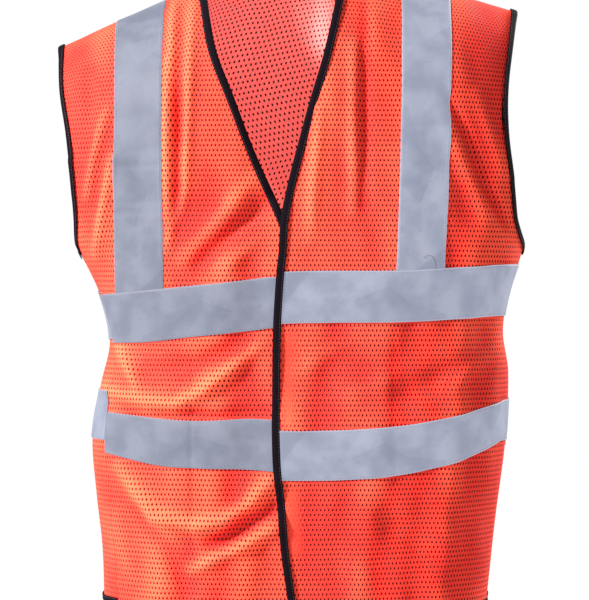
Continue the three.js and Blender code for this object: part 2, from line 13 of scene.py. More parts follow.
import bpy
import numpy as np
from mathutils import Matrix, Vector


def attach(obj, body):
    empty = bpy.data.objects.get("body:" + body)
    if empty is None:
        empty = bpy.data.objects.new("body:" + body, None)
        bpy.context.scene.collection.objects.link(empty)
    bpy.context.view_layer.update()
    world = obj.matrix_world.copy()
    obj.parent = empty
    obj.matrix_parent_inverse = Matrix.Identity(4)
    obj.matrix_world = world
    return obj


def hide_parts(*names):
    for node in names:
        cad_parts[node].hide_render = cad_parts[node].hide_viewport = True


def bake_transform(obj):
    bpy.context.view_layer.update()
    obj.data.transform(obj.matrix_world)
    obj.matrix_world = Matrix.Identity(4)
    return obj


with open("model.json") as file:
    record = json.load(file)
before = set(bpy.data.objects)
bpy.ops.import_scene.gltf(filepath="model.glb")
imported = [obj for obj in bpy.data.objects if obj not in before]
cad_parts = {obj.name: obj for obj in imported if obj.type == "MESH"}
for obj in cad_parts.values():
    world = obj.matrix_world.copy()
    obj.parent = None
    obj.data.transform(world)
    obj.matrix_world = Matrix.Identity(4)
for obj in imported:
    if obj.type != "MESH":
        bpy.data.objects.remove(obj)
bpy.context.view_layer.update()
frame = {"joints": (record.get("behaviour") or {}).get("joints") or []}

Array = np.ndarray
Colour = tuple[float, float, float]
Number = Union[float, Array]

LOG = logging.getLogger("vest")
MM = 0.001
CLOTH_UV = "Cloth"
FOLD_SHADE = "fold_shade"
BACKED = "backed"
TAPE_WIDTH = 50.0
SHOULDER_LEVEL = 655.0
HEM_HEIGHT = 1.5
ROW_MIDDLE = 250.0


class Side(Enum):
    """The wearer's left or right; the value is the sign of x."""

    LEFT = 1
    RIGHT = -1


class Face(Enum):
    """The front or the back of the body form; the value is the sign of the turn."""

    FRONT = 1
    BACK = -1


def smooth_step(low: float, high: float, value: Number) -> Number:
    """Return the smooth rise from 0 at low to 1 at high."""
    part = np.clip((value - low) / (high - low), 0.0, 1.0)
    return part * part * (3 - 2 * part)


class Profile:
    """A smooth curve through a few (place, value) points, held flat beyond its ends."""

    def __init__(self, *points: tuple[float, float]) -> None:
        """Keep the points and work out a slope at each."""
        self.places = np.array([point[0] for point in points], float)
        self.values = np.array([point[1] for point in points], float)
        last = len(points) - 1
        before = [max(index - 1, 0) for index in range(last + 1)]
        after = [min(index + 1, last) for index in range(last + 1)]
        rise = self.values[after] - self.values[before]
        self.slopes = rise / (self.places[after] - self.places[before])

    def __call__(self, place: Number) -> Number:
        """Return the curve's value at a place."""
        held = np.clip(place, self.places[0], self.places[-1])
        index = np.clip(np.searchsorted(self.places, held, side="right") - 1, 0, len(self.places) - 2)
        span = self.places[index + 1] - self.places[index]
        part = (held - self.places[index]) / span
        square = part * part
        cube = square * part
        low = (self.values[index] * (2 * cube - 3 * square + 1)
               + self.values[index + 1] * (3 * square - 2 * cube))
        lead = self.slopes[index] * span * (cube - 2 * square + part)
        return low + lead + self.slopes[index + 1] * span * (cube - square)


# ---------------------------------------------------------------------------------------------------------
# Folds in the cloth
# ---------------------------------------------------------------------------------------------------------

@dataclass(frozen=True)
class Fold:
    """One ridge (positive height) or valley along a given line of (x, height) points."""

    height: float
    width: float
    line: tuple[tuple[float, float], ...]

    def relief(self, x: Array, level: Array) -> Array:
        """Return how far the cloth stands out at each point because of this fold."""
        points = np.array(self.line, float)
        lengths = np.hypot(*np.diff(points, axis=0).T)
        total = lengths.sum()
        best = np.full(x.shape, 1e9)
        along = np.zeros(x.shape)
        passed = 0.0
        for start, end, length in zip(points[:-1], points[1:], lengths):
            step = (end - start) / length
            reach = np.clip((x - start[0]) * step[0] + (level - start[1]) * step[1], 0, length)
            gap = np.hypot(x - start[0] - reach * step[0], level - start[1] - reach * step[1])
            nearer = gap < best
            best = np.where(nearer, gap, best)
            along = np.where(nearer, (passed + reach) / total, along)
            passed += length
        taper = np.sin(math.pi * np.clip(0.12 + 0.76 * along, 0, 1)) ** 0.7
        return self.height * taper * np.exp(-(best / self.width) ** 2)


# Every fold also colours the cloth through its height: painted shade in its valley, painted highlight on its
# ridge.
FRONT_FOLDS = (
    Fold(3.4, 5.0, ((-120, 553), (-119, 373))),
    Fold(3.4, 5.2, ((-94, 625), (-101, 423), (-121, 360))),
    Fold(2.6, 5.0, ((-115, 640), (-115, 545))),
    Fold(-3.2, 4.4, ((-108, 610), (-108, 480), (-110, 380))),
    Fold(4.4, 6.5, ((-183, 506), (-196, 460), (-205, 416))),
    Fold(4.0, 6.0, ((-177, 456), (-195, 359))),
    Fold(-3.0, 7, ((-203, 546), (-203, 498))),
    Fold(-5.0, 8, ((-12, 418), (-50, 384), (-88, 347))),
    Fold(3.6, 9, ((-34, 432), (-70, 392), (-104, 352))),
    Fold(2.2, 7, ((-30, 372), (-60, 345))),
    Fold(3.6, 6.0, ((66, 570), (66, 400))),
    Fold(3.4, 5.0, ((32, 505), (23, 370))),
    Fold(-3.2, 5.5, ((79, 610), (78, 406))),
    Fold(-4.2, 5, ((160, 520), (182, 479), (202, 430), (222, 392))),
    Fold(2.8, 8, ((150, 505), (178, 450), (200, 398))),
    Fold(2.6, 9, ((196, 520), (222, 440))),
    Fold(6.2, 8, ((-182, 221), (-154, 213), (-112, 207), (-83, 221), (-63, 237), (-32, 264))),
    Fold(4.2, 5.5, ((-170, 268), (-152, 224))),
    Fold(-3.0, 6, ((-130, 199), (-70, 197), (-20, 200))),
    Fold(-3.6, 10, ((-140, 240), (-90, 248), (-45, 272))),
    Fold(6.8, 9, ((-170, 143), (-132, 94), (-93, 86), (-64, 90), (-40, 108), (-18, 130))),
    Fold(5.4, 8, ((-12, 84), (-46, 66), (-73, 53), (-97, 40))),
    Fold(-5.2, 8, ((-14, 105), (-44, 84), (-76, 68))),
    Fold(-3.0, 9, ((-150, 100), (-120, 62), (-100, 20))),
    Fold(2.6, 10, ((-178, 90), (-160, 30))),
    Fold(-4.0, 16, ((90, 104), (145, 56))),
    Fold(2.2, 14, ((60, 120), (120, 100), (190, 60))),
    Fold(1.8, 12, ((50, 212), (110, 236), (160, 258))),
    Fold(-2.0, 12, ((120, 215), (180, 246))),
    Fold(2.4, 9, ((165, 225), (215, 262))),
    Fold(1.8, 10, ((12, 240), (60, 272))),
    # The five broad shallow valleys below change the shape only a little; through the fold-height colour they
    # paint shade over wide areas of the fronts.
    Fold(-4.2, 56, ((60, 70), (210, 70))),
    Fold(-3.0, 34, ((30, 236), (215, 236))),
    Fold(-2.4, 30, ((-60, 395), (-110, 392))),
    Fold(-2.2, 34, ((212, 600), (212, 420))),
    Fold(-4.0, 26, ((-204, 560), (-206, 420))),
    Fold(-1.0, 2.4, ((107, 286), (107.5, 120))),
    Fold(-0.9, 2.4, ((-96, 262), (-96, 60))),
    Fold(-0.8, 2.6, ((-178, 448), (-122, 448))),
    Fold(-0.8, 2.6, ((-178, 411), (-122, 412))),
    Fold(0.8, 2.6, ((-178, 396), (-122, 395))),
    Fold(-0.8, 2.6, ((112, 448), (170, 449))),
    Fold(-0.8, 2.6, ((112, 399), (168, 396))),
)

# These folds are also painted as shade and highlight through their height.
BACK_FOLDS = (
    Fold(3.2, 10, ((-120, 560), (-112, 380))),
    Fold(-2.6, 8, ((-96, 560), (-90, 400))),
    Fold(3.0, 10, ((96, 560), (90, 370))),
    Fold(-2.4, 8, ((70, 580), (66, 420))),
    Fold(2.6, 12, ((-30, 540), (-26, 380))),
    Fold(-2.2, 12, ((20, 540), (22, 380))),
    Fold(3.8, 10, ((-196, 470), (-186, 380))),
    Fold(3.8, 10, ((214, 480), (204, 390))),
    Fold(4.2, 11, ((-180, 262), (-110, 234), (-40, 246))),
    Fold(-3.0, 10, ((-150, 240), (-60, 262))),
    Fold(4.0, 11, ((190, 268), (120, 240), (40, 250))),
    Fold(-3.2, 10, ((150, 246), (60, 268))),
    Fold(4.4, 12, ((-165, 142), (-110, 92), (-40, 88), (20, 118))),
    Fold(-3.4, 10, ((-130, 66), (-60, 58), (10, 84))),
    Fold(4.0, 12, ((180, 140), (120, 84), (60, 70))),
    Fold(-2.6, 10, ((150, 60), (90, 40))),
    Fold(-0.9, 2.6, ((4, 560), (4, 20))),
    Fold(-0.8, 2.6, ((-178, 430), (178, 432))),
)


@dataclass(frozen=True)
class Ripples:
    """Small seeded unevenness of the cloth, as a sum of slow waves."""

    seed: int = 7
    waves: int = 16
    shortest: float = 26.0
    longest: float = 110.0
    height: float = 0.55

    def relief(self, x: Array, level: Array, face: Face) -> Array:
        """Return the ripples' height at each point."""
        draw = np.random.default_rng(self.seed + face.value)
        total = np.zeros(x.shape)
        for _ in range(self.waves):
            length = draw.uniform(self.shortest, self.longest)
            heading = draw.uniform(-0.6, 0.6) + math.pi * draw.integers(0, 2)
            phase = draw.uniform(0, 2 * math.pi)
            travel = x * math.cos(heading) + level * math.sin(heading) * 0.7
            wave = np.sin(2 * math.pi * travel / length + phase)
            total += wave * self.height * (length / self.longest) ** 0.5
        return total


# ---------------------------------------------------------------------------------------------------------
# The body form
# ---------------------------------------------------------------------------------------------------------

@dataclass
class BodyForm:
    """The worn shape that every piece lies on; a point is named by its turn and its climb."""

    power: float = 2.5
    shoulder_radius: float = 120.0
    left_width: Profile = Profile((0, 208), (89, 218), (168, 228), (239, 231), (280, 225), (319, 231),
                                  (367, 246), (420, 253), (455, 254))
    right_width: Profile = Profile((0, 191), (58, 193), (111, 199), (170, 203), (226, 194), (272, 185),
                                   (320, 196), (360, 215), (375, 223), (426, 240), (455, 248))
    front_depth: Profile = Profile((0, 114), (150, 121), (300, 125), (450, 127), (560, 126), (680, 124))
    back_depth: Profile = Profile((0, 108), (200, 116), (450, 121), (600, 118), (680, 116))
    left_neck: tuple[float, float] = (60.5, 666.5)
    right_neck: tuple[float, float] = (-88.5, 643.0)
    left_slope: float = 0.29
    right_slope: float = 0.44
    neck_rise: float = 18.0
    neck_drop: float = 66.0
    lap_depth: float = 5.2
    lap_start: float = -56.0
    lap_end: float = -22.0
    fold_gain: float = 1.35
    # The fold-height value of flat cloth, and the relief in millimetres that spans the painted shade and
    # highlight.
    flat_crown: float = 0.25
    crown_span: float = 8.0
    ripples: Ripples = Ripples()

    @property
    def neck_centre(self) -> float:
        """Return the x of the neck's middle."""
        return (self.left_neck[0] + self.right_neck[0]) / 2

    @property
    def neck_half(self) -> float:
        """Return half of the neck's width."""
        return (self.left_neck[0] - self.right_neck[0]) / 2

    def shoulder(self, x: Array) -> Array:
        """Return the shoulder line's height at x."""
        across = (x - self.neck_centre) / self.neck_half
        level = (self.left_neck[1] + self.right_neck[1]) / 2
        tilt = (self.left_neck[1] - self.right_neck[1]) / 2
        middle = level + tilt * across + self.neck_rise * (1 - across * across)
        left = self.left_neck[1] - self.left_slope * (x - self.left_neck[0])
        right = self.right_neck[1] + self.right_slope * (x - self.right_neck[0])
        return np.where(x > self.left_neck[0], left, np.where(x < self.right_neck[0], right, middle))

    def drop(self, x: Array) -> Array:
        """Return how far below the shoulder line the back's neck edge lies."""
        across = (x - self.neck_centre) / self.neck_half
        return self.neck_drop * np.sqrt(np.maximum(1 - across * across, 0))

    def width(self, positive: Array, climb: Array) -> Array:
        """Return the half-width on the left where positive, or else on the right."""
        return np.where(positive, self.left_width(climb), self.right_width(climb))

    def across(self, turn: Array, climb: Array) -> Array:
        """Return the x of a turn."""
        cosine = np.cos(turn)
        return self.width(cosine > 0, climb) * np.sign(cosine) * np.abs(cosine) ** (2 / self.power)

    def turn(self, x: Array, level: Array, face: Face) -> Array:
        """Return the turn of the point at x."""
        x = np.asarray(x, float)
        share = np.minimum(np.abs(x) / self.width(x > 0, level), 1) ** (self.power / 2)
        angle = np.arccos(share)
        return np.where(x > 0, angle, math.pi - angle) * face.value

    def height_of(self, climb: Array, x: Array) -> Array:
        """Return the height of a climb at x."""
        start = self.shoulder(x) - self.shoulder_radius
        bend = np.maximum(climb - start, 0) / self.shoulder_radius
        return np.where(climb <= start, climb, start + self.shoulder_radius * np.sin(bend))

    def seam_climb(self, x: Array) -> Array:
        """Return the climb of the shoulder seam at x."""
        return self.shoulder(x) + self.shoulder_radius * (math.pi / 2 - 1)

    def bare(self, turn: Array, climb: Array, lapped: bool) -> Array:
        """Return the form's own points, without folds."""
        x = self.across(turn, climb)
        start = self.shoulder(x) - self.shoulder_radius
        bend = np.maximum(climb - start, 0) / self.shoulder_radius
        level = self.height_of(climb, x)
        sine = np.sin(turn)
        depth = np.where(sine > 0, self.front_depth(level), self.back_depth(level))
        y = -depth * np.sign(sine) * np.abs(sine) ** (2 / self.power) * np.cos(bend)
        if lapped:
            y = y + self.lap_depth * smooth_step(self.lap_start, self.lap_end, x)
        return np.stack([x, y, level - SHOULDER_LEVEL], -1)

    def normals(self, turn: Array, climb: Array, lapped: bool) -> Array:
        """Return the outward normals of the bare form."""
        turn_step = 0.02
        round_way = self.bare(turn + turn_step, climb, lapped) - self.bare(turn - turn_step, climb, lapped)
        up_way = self.bare(turn, climb + 1, lapped) - self.bare(turn, climb - 1, lapped)
        cross = np.cross(up_way, round_way)
        return cross / np.linalg.norm(cross, axis=-1, keepdims=True)

    def relief(self, turn: Array, climb: Array) -> Array:
        """Return how far the cloth's folds stand out, fading at the side seams and the shoulders."""
        x = self.across(turn, climb)
        level = self.height_of(climb, x)
        front = self.ripples.relief(x, level, Face.FRONT)
        front = front + self.fold_gain * sum(fold.relief(x, level) for fold in FRONT_FOLDS)
        back = self.ripples.relief(x, level, Face.BACK)
        back = back + self.fold_gain * sum(fold.relief(x, level) for fold in BACK_FOLDS)
        sine = np.sin(turn)
        fade = smooth_step(0.0, 0.35, np.abs(sine)) * smooth_step(0.0, 60.0, self.seam_climb(x) - climb)
        return np.where(sine > 0, front, back) * fade

    def fold_shade(self, turn: Array, climb: Array) -> Array:
        """Return how far up a fold the cloth lies, from 0 in a valley to 1 on a ridge; the cloth finish
        paints valleys darker and ridges paler from it, as painted shade and painted highlight.
        """
        return np.clip(self.flat_crown + self.relief(turn, climb) / self.crown_span, 0.0, 1.0)

    def places(self, turn: Array, climb: Array, lapped: bool = False) -> tuple[Array, Array]:
        """Return the folded cloth's points and the form's normals.

        Args:
            turn: Angles round the body.
            climb: Lengths up the cloth.
            lapped: Whether the piece belongs to the front that lies underneath.

        Returns:
            Points and unit normals, each with a last axis of three.
        """
        turn, climb = np.broadcast_arrays(np.asarray(turn, float), np.asarray(climb, float))
        normals = self.normals(turn, climb, lapped)
        return self.bare(turn, climb, lapped) + normals * self.relief(turn, climb)[..., None], normals


@dataclass
class Cut:
    """Where the cloth is cut: its free edges, side seams and armholes."""

    form: BodyForm
    left_edge: Profile = Profile((0, 3.5), (30, -0.5), (59, -4.5), (113, -9), (144, -12.5), (183, -13.8),
                                 (213, -13.5), (283, -12.5), (341, -9.1), (360, -7), (392, -5), (430, 2.5),
                                 (504, 22), (559, 38), (623, 52), (666.5, 60.5))
    right_neck_edge: Profile = Profile((290, 46), (318, 31), (335, 21.5), (360, 9.5), (399, -5.5),
                                       (454, -30.5), (516, -54.5), (564, -72.5), (623, -83.5), (643, -88.5))
    left_armhole: Profile = Profile((367, 246), (379, 237.5), (398, 233.5), (440, 229.5), (484, 226.5),
                                    (517, 226.5), (561, 231.5), (614, 239.5))
    right_armhole: Profile = Profile((360, 216), (372, 215.5), (426, 220.5), (478, 226.5), (529, 236.5),
                                     (578, 238.5))
    lap_width: float = 34.0
    underarms: dict[Side, float] = field(default_factory=lambda: {Side.LEFT: 367.0, Side.RIGHT: 360.0})
    tips: dict[Side, float] = field(default_factory=lambda: {Side.LEFT: 239.5, Side.RIGHT: -238.5})
    foot: float = 34.0
    foot_spread: float = 0.13
    seam_forward: tuple[float, float] = (0.47, 0.11)
    seam_levels: tuple[float, float] = (220.0, 360.0)
    ramp_start: float = 250.0

    def free_edge(self, side: Side, level: Number) -> Number:
        """Return the x of a front's free edge at a height."""
        if side is Side.LEFT:
            return self.left_edge(level)
        return np.minimum(self.right_neck_edge(level), self.left_edge(level) + self.lap_width)

    def tip_climb(self, side: Side) -> float:
        """Return the climb of the shoulder's outer end."""
        return float(self.form.seam_climb(np.array(self.tips[side])))

    def seam_turn(self, side: Side, level: Number) -> Number:
        """Return the turn of a side seam, which on the right comes forward low down."""
        if side is Side.LEFT:
            return 0.0 * np.asarray(level, float)
        low, high = self.seam_forward
        return math.pi - low - (high - low) * smooth_step(*self.seam_levels, np.asarray(level, float))

    def climbs(self, side: Side, lower: int, foot: int, upper: int) -> Array:
        """Return the climbs of a panel's rows, closer together round the armhole's foot."""
        underarm = self.underarms[side]
        low = np.linspace(HEM_HEIGHT, underarm, lower + 1)
        round_part = underarm + self.foot * (1 - np.cos(np.linspace(0, math.pi / 2, foot + 1)[1:]))
        high = np.linspace(underarm + self.foot, self.tip_climb(side), upper + 1)[1:]
        return np.concatenate([low, round_part, high])

    def side_turn(self, side: Side, climb: Array, face: Face) -> Array:
        """Return the turn of a panel's side edge: the seam, then the armhole."""
        seam = self.seam_turn(side, climb)
        base = seam - 2 * math.pi if side is Side.RIGHT and face is Face.BACK else seam
        level = self.form.height_of(climb, np.full(climb.shape, self.tips[side]))
        edge = self.left_armhole(level) if side is Side.LEFT else -self.right_armhole(level)
        reach = self.form.turn(edge, climb, face)
        if side is Side.RIGHT and face is Face.FRONT:
            reach = np.minimum(reach, seam - self.foot_spread)
        part = np.clip((climb - self.underarms[side]) / self.foot, 0, 1)
        return base + (reach - base) * np.sqrt(1 - (1 - part) ** 2)

    def row_climb(self, side: Side, climb: Array, x: Array) -> Array:
        """Return a row's climb at x: level low down, and on the shoulder seam at the top."""
        tip = self.tip_climb(side)
        return climb + (self.form.seam_climb(x) - tip) * smooth_step(self.ramp_start, tip, climb)

    def edge_rows(self, side: Side, climb: Array) -> tuple[Array, Array]:
        """Return the turns and climbs of a front's free edge at its rows."""
        x = np.full(climb.shape, self.form.left_neck[0] if side is Side.LEFT else self.form.right_neck[0])
        level = climb
        for _ in range(8):
            level = self.row_climb(side, climb, x)
            x = self.free_edge(side, self.form.height_of(level, x))
        return self.form.turn(x, level, Face.FRONT), level

    def front_grid(self, side: Side, rows: tuple[int, int, int], columns: int) -> tuple[Array, Array]:
        """Return the turns and climbs of one front's grid, from its free edge to its side."""
        climb = self.climbs(side, *rows)
        inner, _ = self.edge_rows(side, climb)
        outer = self.side_turn(side, climb, Face.FRONT)
        turn = inner[:, None] + (outer - inner)[:, None] * np.linspace(0, 1, columns + 1)[None, :]
        base = np.broadcast_to(climb[:, None], turn.shape)
        return turn, self.row_climb(side, base, self.form.across(turn, base))

    def back_parts(self, shoulder: int, neck: int) -> Array:
        """Return shares from the left tip to the right one, with the neck's corners among them."""
        ends = [float(self.form.turn(self.tips[side], self.tip_climb(side), Face.BACK)) for side in Side]
        corners = []
        for side, (x, _) in zip(Side, (self.form.left_neck, self.form.right_neck)):
            corner = float(self.form.turn(x, self.tip_climb(side), Face.BACK))
            corners.append((corner - ends[0]) / (ends[1] - ends[0]))
        rounded = (1 - np.cos(np.linspace(0, math.pi, neck + 1))) / 2
        middle = corners[0] + (corners[1] - corners[0]) * rounded
        left = np.linspace(0, corners[0], shoulder + 1)
        right = np.linspace(corners[1], 1, shoulder + 1)
        return np.concatenate([left, middle[1:], right[1:]])

    def back_grid(self, rows: tuple[int, int, int], parts: Array) -> tuple[Array, Array]:
        """Return the turns and climbs of the back's grid, from the left side to the right one."""
        left = self.climbs(Side.LEFT, *rows)
        right = self.climbs(Side.RIGHT, *rows)
        start = self.side_turn(Side.LEFT, left, Face.BACK)
        end = self.side_turn(Side.RIGHT, right, Face.BACK)
        turn = start[:, None] + (end - start)[:, None] * parts[None, :]
        base = left[:, None] + (right - left)[:, None] * parts[None, :]
        left_tip, right_tip = self.tip_climb(Side.LEFT), self.tip_climb(Side.RIGHT)
        tip = left_tip + (right_tip - left_tip) * parts[None, :]
        x = self.form.across(turn, base)
        rise = self.form.seam_climb(x) - self.form.drop(x) - tip
        return turn, base + rise * smooth_step(self.ramp_start, tip, base)


# ---------------------------------------------------------------------------------------------------------
# Shader expressions
# ---------------------------------------------------------------------------------------------------------

class Signal:
    """One number that varies over a surface; arithmetic on it adds Math nodes."""

    def __init__(self, graph: "Graph", socket: bpy.types.NodeSocket) -> None:
        """Wrap an output socket."""
        self.graph = graph
        self.socket = socket

    def _math(self, operation: str, *values: Any, clamp: bool = False) -> "Signal":
        """Add one Math node on these values and return its result."""
        node = self.graph.node("ShaderNodeMath", {"operation": operation, "use_clamp": clamp},
                               dict(enumerate(values)))
        return Signal(self.graph, node.outputs[0])

    def __add__(self, other: Any) -> "Signal":
        """Return the sum."""
        return self._math("ADD", self, other)

    __radd__ = __add__

    def __sub__(self, other: Any) -> "Signal":
        """Return self less other."""
        return self._math("SUBTRACT", self, other)

    def __rsub__(self, other: Any) -> "Signal":
        """Return other less self."""
        return self._math("SUBTRACT", other, self)

    def __mul__(self, other: Any) -> "Signal":
        """Return the product."""
        return self._math("MULTIPLY", self, other)

    __rmul__ = __mul__

    def __truediv__(self, other: Any) -> "Signal":
        """Return self over other."""
        return self._math("DIVIDE", self, other)

    def __mod__(self, other: Any) -> "Signal":
        """Return what is left of self after whole steps of other."""
        return self._math("FLOORED_MODULO", self, other)

    def __pow__(self, other: Any) -> "Signal":
        """Return self to a power."""
        return self._math("POWER", self, other)

    def __abs__(self) -> "Signal":
        """Return the size without its sign."""
        return self._math("ABSOLUTE", self)

    def floor(self) -> "Signal":
        """Return the whole part."""
        return self._math("FLOOR", self)

    def sine(self) -> "Signal":
        """Return the sine."""
        return self._math("SINE", self)

    def step(self, low: float, high: float) -> "Signal":
        """Return the smooth rise from 0 at low to 1 at high."""
        node = self.graph.node("ShaderNodeMapRange", {"interpolation_type": "SMOOTHSTEP"},
                               {"Value": self, "From Min": low, "From Max": high})
        return Signal(self.graph, node.outputs["Result"])


class Graph:
    """One material's node tree, with its shader and its cloth coordinates."""

    def __init__(self, name: str) -> None:
        """Start an empty material with a principled shader."""
        self.material = bpy.data.materials.new(name)
        self.material.use_nodes = True
        self.tree = self.material.node_tree
        self.tree.nodes.clear()
        self.shader = self.node("ShaderNodeBsdfPrincipled", {}, {})
        output = self.node("ShaderNodeOutputMaterial", {}, {})
        self.tree.links.new(self.shader.outputs[0], output.inputs["Surface"])

    def node(self, kind: str, settings: dict[str, Any], inputs: dict[Any, Any]) -> bpy.types.Node:
        """Add a node.

        Args:
            kind: The node's type.
            settings: Its properties, set first.
            inputs: Values or links by socket name or number.

        Returns:
            The new node.
        """
        node = self.tree.nodes.new(kind)
        for key, value in settings.items():
            setattr(node, key, value)
        for key, value in inputs.items():
            socket = node.inputs[key]
            if isinstance(value, Signal):
                self.tree.links.new(value.socket, socket)
            elif isinstance(value, bpy.types.NodeSocket):
                self.tree.links.new(value, socket)
            else:
                socket.default_value = value
        return node

    def cloth(self) -> tuple[Signal, Signal, bpy.types.NodeSocket]:
        """Return the two cloth coordinates in millimetres, and their vector."""
        layer = self.node("ShaderNodeUVMap", {"uv_map": CLOTH_UV}, {})
        split = self.node("ShaderNodeSeparateXYZ", {}, {"Vector": layer.outputs["UV"]})
        return Signal(self, split.outputs[0]), Signal(self, split.outputs[1]), layer.outputs["UV"]

    def noise(self, place: bpy.types.NodeSocket, pitch: float, detail: float = 2.0) -> Signal:
        """Return a soft noise with about this pitch in millimetres."""
        node = self.node("ShaderNodeTexNoise", {"noise_dimensions": "2D"},
                         {"Vector": place, "Scale": 1 / pitch, "Detail": detail})
        return Signal(self, node.outputs["Fac"])

    def creases(self, place: bpy.types.NodeSocket, pitch: float) -> Signal:
        """Return flat irregular fields of different values with crisp borders, used for the painted
        reflection of creased tape.
        """
        node = self.node("ShaderNodeTexVoronoi", {"voronoi_dimensions": "2D", "feature": "F1"},
                         {"Vector": place, "Scale": 1 / pitch, "Randomness": 1.0})
        tone = self.node("ShaderNodeSeparateXYZ", {}, {"Vector": node.outputs["Color"]})
        return Signal(self, tone.outputs[0])

    def blend(self, low: Any, high: Any, mask: Signal) -> bpy.types.NodeSocket:
        """Return a colour between two, by a mask."""
        as_rgba = [(*value, 1.0) if isinstance(value, tuple) else value for value in (low, high)]
        node = self.node("ShaderNodeMix", {"data_type": "RGBA"},
                         {"Factor": mask, 6: as_rgba[0], 7: as_rgba[1]})
        return node.outputs[2]

    def attribute(self, name: str) -> Signal:
        """Return a number stored on the mesh's vertices."""
        return Signal(self, self.node("ShaderNodeAttribute", {"attribute_name": name}, {}).outputs["Fac"])

    def bump(self, height: Signal, depth: float, strength: float = 1.0) -> bpy.types.NodeSocket:
        """Return a normal bent by a height, whose full depth is in millimetres."""
        node = self.node("ShaderNodeBump", {},
                         {"Height": height, "Distance": depth * MM, "Strength": strength})
        return node.outputs["Normal"]

    def set(self, **values: Any) -> bpy.types.Material:
        """Set or link the shader's sockets, named with _ for spaces, and return the material."""
        for key, value in values.items():
            socket = self.shader.inputs[key.replace("_", " ").title().replace("Ior", "IOR")]
            if isinstance(value, Signal):
                self.tree.links.new(value.socket, socket)
            elif isinstance(value, bpy.types.NodeSocket):
                self.tree.links.new(value, socket)
            else:
                is_colour = isinstance(value, tuple) and len(value) == 3
                socket.default_value = (*value, 1.0) if is_colour else value
        return self.material


@dataclass(frozen=True)
class MeshClothFinish:
    """Fluorescent warp-knitted cloth with small staggered oval holes, with painted light: shade in the holes
    and valleys, highlight on ridges, and a constant glow.
    """

    name: str = "mesh_cloth"
    colour: Colour = (0.60, 0.0205, 0.0170)
    # pale is the painted highlight that fold ridges reach, and the tone that random patches and flecks lean
    # to.
    pale: Colour = (0.97, 0.108, 0.052)
    # Colour of the holes: painted shade, the shaded inside of the vest seen through them.
    shaded_hole: Colour = (0.085, 0.002, 0.002)
    pitch: tuple[float, float] = (4.0, 5.0)
    hole_half: tuple[float, float] = (0.92, 1.40)
    # Strength of a constant painted glow in the cloth's colour, dimmer in the holes, which keeps the shaded
    # cloth bright.
    glow: float = 0.08
    tilt: float = 0.0

    def build(self) -> bpy.types.Material:
        """Return the material."""
        graph = Graph(self.name)
        across, along, place = graph.cloth()
        # Fold height: valleys are painted towards colour as shade, and ridges towards pale as highlight.
        fold_shade = graph.attribute(FOLD_SHADE)
        if self.tilt:
            lean = math.tan(math.radians(self.tilt))
            along = along - across * lean
        row = (along / self.pitch[1]).floor()
        shifted = across + (row % 2.0) * (self.pitch[0] / 2)
        aside = (shifted % self.pitch[0]) - self.pitch[0] / 2
        upright = (along % self.pitch[1]) - self.pitch[1] / 2
        reach = (aside / self.hole_half[0]) ** 2.0 + (upright / self.hole_half[1]) ** 2.0
        # Where the holes lie, painted dark as shade; mostly lifted where a hook strip lies behind the cloth.
        shaded_hole = (1.0 - reach.step(0.55, 1.45)) * (1.0 - graph.attribute(BACKED) * 0.86)
        rim = reach.step(1.0, 2.2) * (1.0 - reach.step(2.4, 5.0))
        rib = (across * (2 * math.pi / 1.0)).sine() * (along * (2 * math.pi / 1.25)).sine()
        patch = graph.noise(place, 60.0, 3.0).step(0.3, 0.7)
        fleck = graph.noise(place, 1.3, 2.0).step(0.3, 0.7)
        body = graph.blend(self.colour, self.pale, fold_shade + patch * 0.14 + fleck * 0.34 + rim * 0.10 - 0.16)
        colour = graph.blend(body, self.shaded_hole, shaded_hole)
        height = rib * 0.12 + rim * 0.35 + fleck * 0.25 - shaded_hole * 1.2
        # The emission is the painted glow.
        return graph.set(base_color=colour, roughness=0.72 + 0.14 * fleck,
                         normal=graph.bump(height, 0.28, 0.8),
                         emission_color=graph.blend(self.colour, self.shaded_hole, shaded_hole),
                         emission_strength=self.glow, specular_ior_level=0.06, sheen_weight=0.04,
                         sheen_roughness=0.5, sheen_tint=(1.0, 0.5, 0.35))


